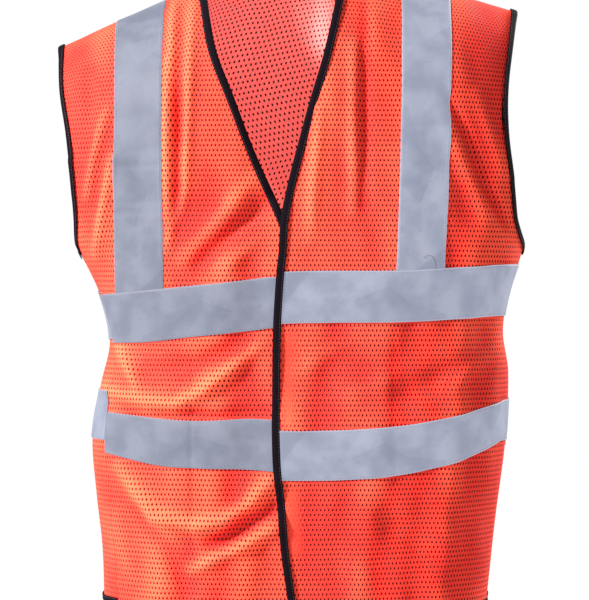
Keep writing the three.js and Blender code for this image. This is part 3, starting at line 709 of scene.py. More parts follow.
@dataclass(frozen=True)
class TapeFinish:
    """Grey glass-bead reflective tape on a fine woven backing; most of its grey is a painted glow standing in
    for the light the beads send back.
    """

    name: str = "reflective_tape"
    colour: Colour = (0.026, 0.028, 0.037)
    pale: Colour = (0.040, 0.043, 0.055)
    worn: Colour = (0.018, 0.019, 0.026)
    # Colours of the painted glow: glow_colour by default, bright where the painted reflection is strongest.
    glow_colour: Colour = (0.43, 0.47, 0.63)
    bright: Colour = (0.70, 0.74, 0.92)
    glow: float = 0.56

    def build(self) -> bpy.types.Material:
        """Return the material."""
        graph = Graph(self.name)
        across, along, place = graph.cloth()
        bead = graph.noise(place, 0.35, 1.0)
        # Slow clouds of tone in the base colour, which also brighten the painted reflection.
        tone_and_glint = graph.noise(place, 34.0, 4.0).step(0.32, 0.68)
        weave = (across * (2 * math.pi / 0.8)).sine() * (along * (2 * math.pi / 0.8)).sine()
        scuff = graph.noise(place, 5.0, 6.0).step(0.62, 0.78)
        # Crisp patches of painted reflection, as creased tape catches the light.
        crease_glint = graph.creases(place, 46.0)
        # A painted bright line along each edge, in the glow.
        border = 1.0 - (TAPE_WIDTH / 2 - abs(along - TAPE_WIDTH / 2)).step(0.7, 1.3)
        body = graph.blend(self.colour, self.pale, tone_and_glint * 0.6 + bead * 0.4)
        colour = graph.blend(body, self.worn, scuff * 0.35)
        height = weave * 0.2 + bead * 0.8 + scuff * 0.3
        # How strong the painted reflection is: in clouds, creased patches, beads and along the edges, weaker
        # on scuffs.
        shine = tone_and_glint * 0.45 + crease_glint * 0.36 + bead * 0.1 - scuff * 0.2 + border * 0.6
        return graph.set(base_color=colour, roughness=0.52 + 0.16 * tone_and_glint,
                         normal=graph.bump(height, 0.10, 0.6),
                         specular_ior_level=0.12, emission_strength=self.glow,
                         emission_color=graph.blend(self.glow_colour, self.bright, shine))


@dataclass(frozen=True)
class BindingFinish:
    """Near-black woven binding with fine ribs along it."""

    name: str = "binding"
    colour: Colour = (0.0026, 0.0010, 0.0024)
    pale: Colour = (0.0085, 0.0048, 0.0080)

    def build(self) -> bpy.types.Material:
        """Return the material."""
        graph = Graph(self.name)
        across, along, place = graph.cloth()
        ribs = (across * (2 * math.pi / 0.9)).sine() * 0.5 + 0.5
        picks = (along * (2 * math.pi / 0.7)).sine() * 0.5 + 0.5
        lint = graph.noise(place, 1.2, 4.0).step(0.55, 0.8)
        colour = graph.blend(self.colour, self.pale, ribs * picks * 0.5 + lint * 0.5)
        return graph.set(base_color=colour, roughness=0.80 + 0.12 * lint, specular_ior_level=0.04,
                         normal=graph.bump(ribs * 0.6 + picks * 0.4 + lint * 0.3, 0.22, 0.8))


@dataclass(frozen=True)
class ThreadFinish:
    """Twisted sewing thread of one colour."""

    name: str
    colour: Colour
    pale: Colour

    def build(self) -> bpy.types.Material:
        """Return the material."""
        graph = Graph(self.name)
        across, along, place = graph.cloth()
        twist = ((across + along) * (2 * math.pi / 0.5)).sine() * 0.5 + 0.5
        colour = graph.blend(self.colour, self.pale, twist * 0.7 + graph.noise(place, 3.0) * 0.3)
        return graph.set(base_color=colour, roughness=0.55 + 0.1 * twist, normal=graph.bump(twist, 0.06, 0.7))


@dataclass(frozen=True)
class StripFinish:
    """Hook or loop strip: stiff hooks in rows, or a soft nap of loops."""

    name: str
    colour: Colour
    pale: Colour
    pitch: float
    order: float

    def build(self) -> bpy.types.Material:
        """Return the material."""
        graph = Graph(self.name)
        across, along, place = graph.cloth()
        rows = (across * (2 * math.pi / self.pitch)).sine() * (along * (2 * math.pi / self.pitch)).sine()
        nap = graph.noise(place, self.pitch * 0.6, 5.0)
        height = (rows * 0.5 + 0.5) * self.order + nap * (1 - self.order)
        colour = graph.blend(self.colour, self.pale, height)
        return graph.set(base_color=colour, roughness=0.86 + 0.1 * nap, normal=graph.bump(height, 0.5, 0.9))


@dataclass(frozen=True)
class LabelFinish:
    """Blank white satin label."""

    name: str = "label"
    colour: Colour = (0.78, 0.78, 0.75)
    pale: Colour = (0.88, 0.88, 0.86)

    def build(self) -> bpy.types.Material:
        """Return the material."""
        graph = Graph(self.name)
        across, along, place = graph.cloth()
        satin = (along * (2 * math.pi / 0.6)).sine() * 0.5 + 0.5
        colour = graph.blend(self.colour, self.pale, satin * 0.4 + graph.noise(place, 8.0) * 0.6)
        return graph.set(base_color=colour, roughness=0.42 + 0.1 * satin, normal=graph.bump(satin, 0.05, 0.5))


# ---------------------------------------------------------------------------------------------------------
# Mesh making
# ---------------------------------------------------------------------------------------------------------

def grid_faces(rows: int, columns: int) -> Array:
    """Return the four-sided faces of a grid, as vertex numbers."""
    start = (np.arange(rows - 1)[:, None] * columns + np.arange(columns - 1)[None, :]).ravel()
    return np.stack([start, start + 1, start + columns + 1, start + columns], -1)


def rim_loop(rows: int, columns: int) -> Array:
    """Return a grid's outline as vertex numbers, in one direction round."""
    bottom = np.arange(columns)
    right = np.arange(1, rows) * columns + columns - 1
    top = (rows - 1) * columns + np.arange(columns - 2, -1, -1)
    left = np.arange(rows - 2, 0, -1) * columns
    return np.concatenate([bottom, right, top, left])


def signed_volume(points: Array, faces: Array) -> float:
    """Return the volume inside closed four-sided faces, negative if they point in."""
    middle = points.mean(axis=0)
    a, b, c, d = (points[faces[:, corner]] - middle for corner in range(4))
    first = np.einsum("ij,ij->i", a, np.cross(b, c)).sum()
    return float(first + np.einsum("ij,ij->i", a, np.cross(c, d)).sum())


def make_object(name: str, points: Array, faces: Array, cloth: Array, material: bpy.types.Material,
                caps: Sequence[Sequence[int]] = ()) -> bpy.types.Object:
    """Make one smooth closed mesh.

    Args:
        name: The piece's name.
        points: Vertices in millimetres.
        faces: Four-sided faces as vertex numbers.
        cloth: Cloth coordinates of each vertex, in millimetres.
        material: The piece's finish.
        caps: Many-sided faces that close the ends of a sweep, turned the same way as the others.

    Returns:
        The new object, in metres.
    """
    polygons = faces.tolist() + [list(cap) for cap in caps]
    if signed_volume(points, faces) < 0:
        polygons = [polygon[::-1] for polygon in polygons]
    mesh = bpy.data.meshes.new(name)
    mesh.from_pydata((points * MM).tolist(), [], polygons)
    layer = mesh.uv_layers.new(name=CLOTH_UV)
    corners = np.concatenate([np.array(polygon) for polygon in polygons])
    layer.data.foreach_set("uv", cloth[corners].astype(np.float32).ravel())
    mesh.polygons.foreach_set("use_smooth", np.ones(len(polygons), bool))
    mesh.materials.append(material)
    mesh.update()
    piece = bpy.data.objects.new(name, mesh)
    bpy.context.scene.collection.objects.link(piece)
    LOG.info("%s: %d faces", name, len(faces))
    return piece


def shell(name: str, points: Array, normals: Array, cloth: Array, outer: Number, inner: Number,
          material: bpy.types.Material, fold_shade: Optional[Array] = None,
          inside: Optional[bpy.types.Material] = None, backed: Optional[Array] = None) -> bpy.types.Object:
    """Make a sheet with two skins and a rim from a grid of points.

    Args:
        name: The piece's name.
        points: Grid of points, rows by columns by three.
        normals: The grid's normals.
        cloth: The grid's cloth coordinates.
        outer: How far the outer skin stands off the points.
        inner: The same for the inner skin.
        material: The piece's finish.
        fold_shade: How far each point lies up a fold, from 0 to 1, which the finish paints as shade in
            valleys and highlight on ridges.
        inside: A different finish for the inner skin.
        backed: Where a strip lies behind the cloth and fills its holes, lifting the painted shade in them,
            from 0 to 1.

    Returns:
        The new object.
    """
    rows, columns = points.shape[:2]
    skins = [(points + normals * np.asarray(offset)[..., None]).reshape(-1, 3) for offset in (outer, inner)]
    count = rows * columns
    flat = grid_faces(rows, columns)
    loop = rim_loop(rows, columns)
    onward = np.roll(loop, -1)
    rim = np.stack([onward, loop, loop + count, onward + count], -1)
    faces = np.concatenate([flat, flat[:, ::-1] + count, rim])
    both_cloths = np.tile(cloth.reshape(-1, 2), (2, 1))
    piece = make_object(name, np.concatenate(skins), faces, both_cloths, material)
    if fold_shade is not None:
        layer = piece.data.attributes.new(FOLD_SHADE, "FLOAT", "POINT")
        layer.data.foreach_set("value", np.tile(fold_shade.ravel(), 2).astype(np.float32))
    if backed is not None:
        layer = piece.data.attributes.new(BACKED, "FLOAT", "POINT")
        layer.data.foreach_set("value", np.tile(backed.ravel(), 2).astype(np.float32))
    if inside is not None:
        piece.data.materials.append(inside)
        skin = np.zeros(len(faces), np.int32)
        skin[len(flat):2 * len(flat)] = 1
        piece.data.polygons.foreach_set("material_index", skin)
    return piece


def row_lengths(points: Array, start: Number = 0.0) -> Array:
    """Return the length along each row of a grid, from a start value at its first column."""
    steps = np.linalg.norm(np.diff(points, axis=1), axis=-1)
    lengths = np.concatenate([np.zeros((len(points), 1)), np.cumsum(steps, axis=1)], axis=1)
    return lengths + np.asarray(start).reshape(-1, 1)


@dataclass
class Edge:
    """A run of places along a cloth edge, with the direction that leads off the cloth."""

    points: Array
    normals: Array
    away: Array
    closed: bool = False

    @classmethod
    def along(cls, form: BodyForm, turn: Array, climb: Array, side: int, lapped: bool = False,
              closed: bool = False) -> "Edge":
        """Return the edge through these turns and climbs; side tells on which hand the cloth lies."""
        points, normals = form.places(turn, climb, lapped)
        if closed:
            ahead = np.roll(points, -1, 0) - np.roll(points, 1, 0)
        else:
            ahead = np.gradient(points, axis=0)
        away = np.cross(ahead, normals) * side
        return cls(points, normals, away / np.linalg.norm(away, axis=-1, keepdims=True), closed)

    def line(self, out: float, up: float) -> tuple[Array, Array]:
        """Return the points and normals of a line beside the edge."""
        return self.points + self.away * out + self.normals * up, self.normals


@dataclass(frozen=True)
class BindingMaker:
    """Folds a binding over a cloth edge."""

    material: bpy.types.Material
    leg: float = 6.6
    cloth: float = 0.6
    thickness: float = 0.55
    lift: float = 1.4

    def section(self) -> Array:
        """Return the folded section's outline, as (out, up) points."""
        high = self.lift + self.thickness
        low = -self.cloth - 0.35
        deep = low - self.thickness
        half = -self.leg / 2
        return np.array([
            (-self.leg, high - 0.15), (-self.leg + 0.8, high), (half, high + 0.14), (-1.2, high + 0.08),
            (0.4, high - 0.4), (1.3, 0.7), (1.45, -0.2), (1.0, deep + 0.35), (0.0, deep), (half, deep - 0.1),
            (-self.leg, deep + 0.1), (-self.leg, low + 0.1), (half, low - 0.03), (-0.2, low), (0.55, -0.3),
            (0.55, 0.6), (-0.2, self.lift), (half, self.lift + 0.1), (-self.leg, self.lift)])

    def make(self, name: str, edge: Edge) -> bpy.types.Object:
        """Return the binding swept along an edge."""
        section = self.section()
        points = (edge.points[:, None] + edge.away[:, None] * section[None, :, :1]
                  + edge.normals[:, None] * section[None, :, 1:])
        count, size = points.shape[:2]
        round_way = np.arange(size)
        onward = np.roll(round_way, -1)
        here = np.arange(count if edge.closed else count - 1)
        there = (here + 1) % count
        faces = np.stack([here[:, None] * size + round_way, there[:, None] * size + round_way,
                          there[:, None] * size + onward, here[:, None] * size + onward], -1).reshape(-1, 4)
        caps = [] if edge.closed else [round_way, (round_way + (count - 1) * size)[::-1]]
        steps = np.linalg.norm(np.diff(edge.points, axis=0), axis=-1)
        lengths = np.concatenate([[0.0], np.cumsum(steps)])
        girth = np.concatenate([[0.0], np.cumsum(np.linalg.norm(np.diff(section, axis=0), axis=-1))])
        cloth = np.stack(np.broadcast_arrays(girth[None, :], lengths[:, None]), -1).reshape(-1, 2)
        return make_object(name, points.reshape(-1, 3), faces, cloth, self.material, caps)


@dataclass(frozen=True)
class Stitching:
    """Makes rows of lock stitches, each a small spindle of thread lying on the surface."""

    pitch: float = 3.0
    length: float = 2.3
    width: float = 0.46
    height: float = 0.36

    def row(self, points: Array, normals: Array) -> tuple[Array, Array]:
        """Return the vertices and faces of one row along a line."""
        steps = np.linalg.norm(np.diff(points, axis=0), axis=-1)
        lengths = np.concatenate([[0.0], np.cumsum(steps)])
        middles = np.arange(self.pitch / 2, lengths[-1] - self.pitch / 2, self.pitch)
        centre = np.stack([np.interp(middles, lengths, points[:, axis]) for axis in range(3)], -1)
        up = np.stack([np.interp(middles, lengths, normals[:, axis]) for axis in range(3)], -1)
        further = [np.interp(middles + 0.5, lengths, points[:, axis]) for axis in range(3)]
        ahead = np.stack(further, -1) - centre
        ahead /= np.linalg.norm(ahead, axis=-1, keepdims=True)
        aside = np.cross(ahead, up)
        half, thick = self.length / 2, self.width / 2
        corners = [(-half, 0.0, -0.25)]
        for share in (-0.55, 0.55):
            corners += [(half * share, thick, 0.0), (half * share, 0.0, self.height),
                        (half * share, -thick, 0.0), (half * share, 0.0, -0.2)]
        corners.append((half, 0.0, -0.25))
        shape = np.array(corners)
        vertices = (centre[:, None] + ahead[:, None] * shape[None, :, :1]
                    + aside[:, None] * shape[None, :, 1:2] + up[:, None] * shape[None, :, 2:])
        ends = [(0, 2, 1, 1), (0, 3, 2, 2), (0, 4, 3, 3), (0, 1, 4, 4)]
        ends += [(9, 5, 6, 6), (9, 6, 7, 7), (9, 7, 8, 8), (9, 8, 5, 5)]
        sides = [(1, 2, 6, 5), (2, 3, 7, 6), (3, 4, 8, 7), (4, 1, 5, 8)]
        faces = np.array(ends + sides)[None] + (np.arange(len(middles)) * len(shape))[:, None, None]
        if signed_volume(vertices[0], faces[0]) < 0:
            faces = faces[..., ::-1]
        return vertices.reshape(-1, 3), faces.reshape(-1, 4)

    def make(self, name: str, rows: Sequence[tuple[Array, Array]], material: bpy.types.Material,
             slot: str) -> bpy.types.Object:
        """Return all the rows as one object."""
        vertices, polygons, count = [], [], 0
        for points, normals in rows:
            row_vertices, row_faces = self.row(points, normals)
            polygons += [list(dict.fromkeys(face)) for face in (row_faces + count).tolist()]
            vertices.append(row_vertices)
            count += len(row_vertices)
        points = np.concatenate(vertices)
        cloth = np.stack([points[:, 0], points[:, 2]], -1)
        return make_object(name, points, np.zeros((0, 4), int), cloth, material, polygons)


# ---------------------------------------------------------------------------------------------------------
# Sub-assemblies
# ---------------------------------------------------------------------------------------------------------

@dataclass
class Finishes:
    """The materials, built once."""

    cloth: bpy.types.Material
    cloth_inside: bpy.types.Material
    tapes: dict[Side, bpy.types.Material]
    binding: bpy.types.Material
    tape_thread: bpy.types.Material
    dark_thread: bpy.types.Material
    loose_thread: bpy.types.Material
    hook: bpy.types.Material
    loop: bpy.types.Material
    label: bpy.types.Material

    @classmethod
    def build(cls) -> "Finishes":
        """Return every finish of the vest."""
        return cls(
            cloth=MeshClothFinish().build(),
            # The inside is a much paler copy of the cloth with a strong glow: painted light in the shaded
            # inside of the vest, with its holes painted near black as shade.
            cloth_inside=MeshClothFinish("mesh_cloth_inside", (0.94, 0.225, 0.205), (0.98, 0.275, 0.245),
                                         (0.030, 0.001, 0.001), pitch=(5.2, 6.0), hole_half=(1.05, 1.55),
                                         glow=0.30, tilt=-11.0).build(),
            tapes={Side.LEFT: TapeFinish().build(),
                   # The wearer's right tapes, on the key light's side, are a darker copy with less glow:
                   # painted shade.
                   Side.RIGHT: TapeFinish("reflective_tape_painted_shade", glow=0.38).build()},
            binding=BindingFinish().build(),
            tape_thread=ThreadFinish("tape_thread", (0.13, 0.14, 0.17), (0.21, 0.22, 0.26)).build(),
            dark_thread=ThreadFinish("dark_thread", (0.010, 0.008, 0.013), (0.035, 0.028, 0.04)).build(),
            loose_thread=ThreadFinish("loose_thread", (0.06, 0.05, 0.06), (0.10, 0.09, 0.10)).build(),
            hook=StripFinish("hook_strip", (0.62, 0.05, 0.03), (0.85, 0.12, 0.06), 1.2, 0.8).build(),
            loop=StripFinish("loop_strip", (0.70, 0.06, 0.035), (0.95, 0.16, 0.09), 0.9, 0.2).build(),
            label=LabelFinish().build())


@dataclass(frozen=True)
class FoldLine:
    """A straight line on the front about which a flap turns, and the soft band across it."""

    joint: str
    body: str
    half_band: float

    def blend(self, piece: bpy.types.Object) -> None:
        """Bake the piece's placement into its mesh; the line's joint is read, but its point and axis are not
        used.
        """
        joint = next(item for item in frame["joints"] if item["name"] == self.joint)
        point = Vector(joint["pos_m"])
        axis = Vector(joint["axis"])
        inward = Vector((axis.z, 0.0, -axis.x)).normalized()
        if inward.x * point.x > 0:
            inward.negate()
        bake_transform(piece)


FOLD_LINES = {
    Side.LEFT: FoldLine("left_front_fold", "left_flap", 20.0),
    Side.RIGHT: FoldLine("right_front_fold", "right_flap", 20.0),
}

CLOTH_THICKNESS = 0.6
SHOULDER_TAPE = (0.50, 0.80)
BAND_TAPE = (0.95, 1.30)
BAND_STEP = -13.5
STRIP_REACH = 8.5
STRIP_WIDTH = 16.0
STRIP_SPANS = (("upper", 188.0, 280.0), ("lower", 58.0, 122.0))
TAPE_TUCK = 9.0
STITCH_INSET = 1.9


@dataclass
class BandEdges:
    """The edges of one horizontal tape: heights by x on the fronts and on the back."""

    name: str
    top: Profile
    bottom: Profile
    back_top: Profile


UPPER_BAND = BandEdges(
    "upper",
    Profile((-215, 318), (-190, 318), (-130, 322), (-80, 327), (-14, 336),
            (-13, 341), (120, 343), (215, 350)),
    Profile((-215, 269), (-145, 270), (-100, 275), (-14, 285),
            (-13, 289), (125, 291), (178, 294), (218, 297)),
    Profile((-215, 320), (0, 337), (218, 351)))
LOWER_BAND = BandEdges(
    "lower",
    Profile((-215, 203), (-145, 196), (-95, 192), (-14, 193), (-13, 183), (107, 186), (175, 197), (224, 210)),
    Profile((-215, 165), (-165, 155), (-120, 146), (-14, 141),
            (-13, 133), (107, 136), (180, 151), (222, 168)),
    Profile((-215, 222), (0, 212), (222, 211)))


@dataclass
class Vest:
    """What every sub-assembly shares: the form, the cut and the finishes."""

    form: BodyForm
    cut: Cut
    finishes: Finishes
    stitching: Stitching = Stitching()

    def sheet(self, name: str, turn: Array, climb: Array, cloth: Array, outer: float, inner: float,
              material: bpy.types.Material, slot: str, lapped: bool = False) -> bpy.types.Object:
        """Return a two-skinned sheet on a grid of turns and climbs."""
        points, normals = self.form.places(turn, climb, lapped)
        return shell(name, points, normals, cloth, outer, inner, material)


@dataclass
class Front:
    """One front: its cloth, its two horizontal tapes, its edge and hem bindings and its stitching."""

    vest: Vest
    side: Side
    rows: tuple[int, int, int] = (124, 12, 88)
    columns: int = 84
    band_rows: int = 18
    band_columns: int = 92
    flat: tuple[float, float] = (0.345, 0.700)
    area_share: float = 0.70

    @property
    def name(self) -> str:
        """Return left or right."""
        return self.side.name.lower()

    @property
    def lapped(self) -> bool:
        """Return whether this front lies underneath."""
        return self.side is Side.RIGHT

    def build_cloth(self) -> bpy.types.Object:
        """Return the front's cloth, one piece from the free edge to the side seam."""
        form = self.vest.form
        turn, climb = self.vest.cut.front_grid(self.side, self.rows, self.columns)
        points, normals = form.places(turn, climb, self.lapped)
        start = form.across(turn, climb)[:, 0] * self.side.value
        lengths = row_lengths(form.bare(turn, climb, self.lapped), start)
        cloth = np.stack([lengths, climb], -1)
        piece = shell(f"{self.name}_front_cloth", points, normals, cloth, 0.0, -CLOTH_THICKNESS,
                      self.vest.finishes.cloth, form.fold_shade(turn, climb),
                      backed=self.backed(form.across(turn, climb), climb))
        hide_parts(f"{self.name}_front_panel", f"{self.name}_front_flap")
        return piece

    def backed(self, x: Array, level: Array) -> Array:
        """Return where the cloth is backed by a hook strip, from 0 to 1."""
        if self.side is Side.RIGHT:
            return np.zeros(x.shape)
        aside = x - self.vest.cut.left_edge(level) - STRIP_REACH
        across = smooth_step(-2.5, 1.0, aside) * (1 - smooth_step(STRIP_WIDTH - 4, STRIP_WIDTH, aside))
        spans = [smooth_step(low - 3, low + 3, level) * (1 - smooth_step(high - 3, high + 3, level))
                 for _, low, high in STRIP_SPANS]
        return across * np.maximum(*spans)

    def band_grid(self, band: BandEdges) -> tuple[Array, Array, Array]:
        """Return the turns, climbs and shares of a band from the free edge to the side seam."""
        form, cut = self.vest.form, self.vest.cut
        share = np.linspace(0, 1, self.band_columns + 1)[None, :]
        part = np.linspace(0, 1, self.band_rows + 1)[:, None]
        middle = ROW_MIDDLE
        off = 2.5 * self.side.value

        def turn_at(level: Number) -> Array:
            """Return the turns of a row from the free edge to the side seam."""
            start = form.turn(cut.free_edge(self.side, level) + off, level, Face.FRONT)
            return start + (cut.seam_turn(self.side, level) - start) * share

        x = form.across(turn_at(middle), np.array(middle))
        held = np.maximum(x, BAND_STEP + 1) if self.side is Side.LEFT else np.minimum(x, BAND_STEP - 1)
        level = band.bottom(held) + (band.top(held) - band.bottom(held)) * part
        return turn_at(level), level, part

    def build_band(self, band: BandEdges) -> bpy.types.Object:
        """Return one horizontal tape of this front."""
        turn, level, part = self.band_grid(band)
        points, normals = self.vest.form.places(turn, level, self.lapped)
        cloth = np.stack(np.broadcast_arrays(row_lengths(points), part * TAPE_WIDTH), -1)
        piece = shell(f"{self.name}_{band.name}_tape", points, normals, cloth, BAND_TAPE[1], BAND_TAPE[0],
                      self.vest.finishes.tapes[self.side])
        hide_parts(f"{self.name}_flap_{band.name}_tape", f"{band.name}_tape_{self.name}_side")
        return piece

    def build_edge(self) -> bpy.types.Object:
        """Return the binding from the shoulder seam down the neck and the free edge to the hem."""
        climb = np.linspace(HEM_HEIGHT, self.vest.cut.tip_climb(self.side), 250)
        turn, level = self.vest.cut.edge_rows(self.side, climb)
        edge = Edge.along(self.vest.form, turn, level, -self.side.value, self.lapped)
        piece = BindingMaker(self.vest.finishes.binding).make(f"{self.name}_front_binding", edge)
        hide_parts(f"{self.name}_edge_binding")
        self.edge = edge
        return piece

    def build_hem(self) -> bpy.types.Object:
        """Return the hem's binding from the side seam to the free edge."""
        cut, form = self.vest.cut, self.vest.form
        x = cut.free_edge(self.side, HEM_HEIGHT) + 1.0 * self.side.value
        seam = float(cut.seam_turn(self.side, HEM_HEIGHT))
        turn = np.linspace(seam, float(form.turn(x, HEM_HEIGHT, Face.FRONT)), 90)
        edge = Edge.along(form, turn, np.full(turn.shape, HEM_HEIGHT), self.side.value, self.lapped)
        piece = BindingMaker(self.vest.finishes.binding, lift=1.2).make(f"{self.name}_front_hem", edge)
        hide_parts(f"{self.name}_flap_hem_binding")
        self.hem = edge
        return piece

    def build_stitches(self) -> list[bpy.types.Object]:
        """Return the rows along the tapes and along the bindings."""
        rows = []
        for band in (UPPER_BAND, LOWER_BAND):
            turn, level, _ = self.band_grid(band)
            inset = STITCH_INSET / TAPE_WIDTH
            for share in (inset, 1 - inset):
                line = level[0] + (level[-1] - level[0]) * share
                turns = turn[0] + (turn[-1] - turn[0]) * share
                points, normals = self.vest.form.places(turns, line, self.lapped)
                rows.append((points + normals * (BAND_TAPE[1] + 0.02), normals))
        stitching = self.vest.stitching
        finishes = self.vest.finishes
        tape = stitching.make(f"{self.name}_front_tape_stitches", rows, finishes.tape_thread,
                              "reflective_tape")
        dark_rows = [self.edge.line(-5.2, 2.02), self.hem.line(-5.2, 1.82)]
        dark = stitching.make(f"{self.name}_front_binding_stitches", dark_rows, finishes.dark_thread,
                              "binding")
        return [tape, dark]

    def build(self) -> None:
        """Build the front and bake each piece's placement into its mesh."""
        cloth = self.build_cloth()
        sewn = [self.build_band(UPPER_BAND), self.build_band(LOWER_BAND), self.build_edge(), self.build_hem()]
        sewn += self.build_stitches()
        for piece in [cloth, *sewn]:
            FOLD_LINES[self.side].blend(piece)
        self.area_share * self.flat[0] * self.flat[1]


@dataclass
class Back:
    """The back: its cloth, tapes, neck and hem bindings and its stitching."""

    vest: Vest
    rows: tuple[int, int, int] = (110, 10, 78)
    parts: tuple[int, int] = (62, 40)
    flat: tuple[float, float] = (0.620, 0.715)
    area_share: float = 0.80

    def build_cloth(self) -> bpy.types.Object:
        """Return the back's cloth."""
        form, cut = self.vest.form, self.vest.cut
        parts = cut.back_parts(*self.parts)
        turn, climb = cut.back_grid(self.rows, parts)
        points, normals = form.places(turn, climb)
        lengths = row_lengths(form.bare(turn, climb, False))
        middle = int(np.argmin(np.abs(parts - 0.5)))
        cloth = np.stack([lengths - lengths[:, middle:middle + 1], climb], -1)
        finishes = self.vest.finishes
        piece = shell("back_cloth", points, normals, cloth, 0.0, -CLOTH_THICKNESS,
                      finishes.cloth,
                      form.fold_shade(turn, climb), finishes.cloth_inside)
        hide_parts("back_panel")
        return piece

    def band_grid(self, band: BandEdges) -> tuple[Array, Array, Array]:
        """Return the turns, climbs and shares of the band round the back."""
        cut = self.vest.cut
        share = np.linspace(0, 1, 190)[None, :]
        part = np.linspace(0, 1, 17)[:, None]
        middle = ROW_MIDDLE
        x = self.vest.form.across((cut.seam_turn(Side.RIGHT, middle) - 2 * math.pi) * share, np.array(middle))
        level = band.back_top(x) - TAPE_WIDTH * (1 - part)
        return (cut.seam_turn(Side.RIGHT, level) - 2 * math.pi) * share, level, part

    def build_band(self, band: BandEdges) -> bpy.types.Object:
        """Return one horizontal tape of the back."""
        turn, level, part = self.band_grid(band)
        points, normals = self.vest.form.places(turn, level)
        cloth = np.stack(np.broadcast_arrays(row_lengths(points), part * TAPE_WIDTH), -1)
        piece = shell(f"back_{band.name}_tape", points, normals, cloth, BAND_TAPE[1], BAND_TAPE[0],
                      self.vest.finishes.tapes[Side.LEFT])
        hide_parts(f"{band.name}_tape_back")
        return piece

    def build_neck(self) -> bpy.types.Object:
        """Return the binding of the back's neck edge, between the shoulder seams."""
        form, cut = self.vest.form, self.vest.cut
        parts = cut.back_parts(*self.parts)[self.parts[0]:-self.parts[0]]
        left, right = cut.tip_climb(Side.LEFT), cut.tip_climb(Side.RIGHT)
        ends = [float(form.turn(cut.tips[side], cut.tip_climb(side), Face.BACK)) for side in Side]
        turn = ends[0] + (ends[1] - ends[0]) * parts
        base = left + (right - left) * parts
        x = form.across(turn, base)
        edge = Edge.along(form, turn, form.seam_climb(x) - form.drop(x), -1)
        piece = BindingMaker(self.vest.finishes.binding).make("back_neck_binding", edge)
        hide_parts("neck_binding")
        self.neck = edge
        return piece

    def build_hem(self) -> bpy.types.Object:
        """Return the hem's binding round the back, from side seam to side seam."""
        turn = np.linspace(0, float(self.vest.cut.seam_turn(Side.RIGHT, HEM_HEIGHT)) - 2 * math.pi, 170)
        edge = Edge.along(self.vest.form, turn, np.full(turn.shape, HEM_HEIGHT), 1)
        piece = BindingMaker(self.vest.finishes.binding, lift=1.2).make("back_hem_binding", edge)
        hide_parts("hem_binding")
        self.hem = edge
        return piece

    def build_stitches(self) -> list[bpy.types.Object]:
        """Return the rows along the back's tapes and bindings."""
        rows = []
        for band in (UPPER_BAND, LOWER_BAND):
            turn, level, _ = self.band_grid(band)
            inset = STITCH_INSET / TAPE_WIDTH
            for share in (inset, 1 - inset):
                points, normals = self.vest.form.places(turn[0], level[0] + (level[-1] - level[0]) * share)
                rows.append((points + normals * (BAND_TAPE[1] + 0.02), normals))
        finishes = self.vest.finishes
        tape = self.vest.stitching.make("back_tape_stitches", rows, finishes.tape_thread, "reflective_tape")
        dark_rows = [self.neck.line(-5.2, 2.02), self.hem.line(-5.2, 1.82)]
        dark = self.vest.stitching.make("back_binding_stitches", dark_rows, finishes.dark_thread, "binding")
        return [tape, dark]

    def build(self) -> None:
        """Build the back and attach its pieces to the vest's body."""
        cloth = self.build_cloth()
        sewn = [self.build_band(UPPER_BAND), self.build_band(LOWER_BAND), self.build_neck(), self.build_hem()]
        sewn += self.build_stitches()
        for piece in [cloth, *sewn]:
            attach(piece, "vest_body")
        self.area_share * self.flat[0] * self.flat[1]


@dataclass
class ShoulderTape:
    """One vertical tape, over the shoulder from the front's upper tape to the back's."""

    vest: Vest
    side: Side
    centre: Profile
    rows: int = 120

    def grid(self) -> tuple[Array, Array, Array]:
        """Return the turns, climbs and shares across of both halves, as one strip."""
        form = self.vest.form
        aside = np.linspace(-TAPE_WIDTH / 2, TAPE_WIDTH / 2, 19)[None, :]
        halves = []
        for face, top in ((Face.FRONT, UPPER_BAND.top), (Face.BACK, UPPER_BAND.back_top)):
            low = top(self.centre(340.0) + aside) - TAPE_TUCK
            part = np.linspace(0, 1, self.rows)[:, None]
            x = self.centre(low + (620.0 - low) * part) + aside
            climb = low + (form.seam_climb(x) - low) * part
            halves.append((form.turn(x, climb, face), climb))
        (front_turn, front_climb), (back_turn, back_climb) = halves
        turn = np.concatenate([front_turn, back_turn[::-1][1:]])
        climb = np.concatenate([front_climb, back_climb[::-1][1:]])
        return turn, climb, aside

    def build(self) -> None:
        """Build the tape and its stitches."""
        name = self.side.name.lower()
        turn, climb, aside = self.grid()
        points, normals = self.vest.form.places(turn, climb)
        along = row_lengths(points.transpose(1, 0, 2)).T
        cloth = np.stack(np.broadcast_arrays(along, aside + TAPE_WIDTH / 2), -1)
        finishes = self.vest.finishes
        tape = shell(f"{name}_shoulder_tape", points, normals, cloth, SHOULDER_TAPE[1], SHOULDER_TAPE[0],
                     finishes.tapes[self.side])
        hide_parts(f"{name}_shoulder_tape_front", f"{name}_shoulder_tape_back")
        rows = []
        share = STITCH_INSET / TAPE_WIDTH
        for weight in (share, 1 - share):
            line = points[:, 0] * (1 - weight) + points[:, -1] * weight
            nearest = int(round(weight * (points.shape[1] - 1)))
            line = points[:, nearest] + (line - points[:, nearest]) * 0.4
            rows.append((line + normals[:, nearest] * (SHOULDER_TAPE[1] + 0.05), normals[:, nearest]))
        stitches = self.vest.stitching.make(f"{name}_shoulder_tape_stitches", rows, finishes.tape_thread,
                                            "reflective_tape")
        for piece in (tape, stitches):
            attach(piece, "vest_body")


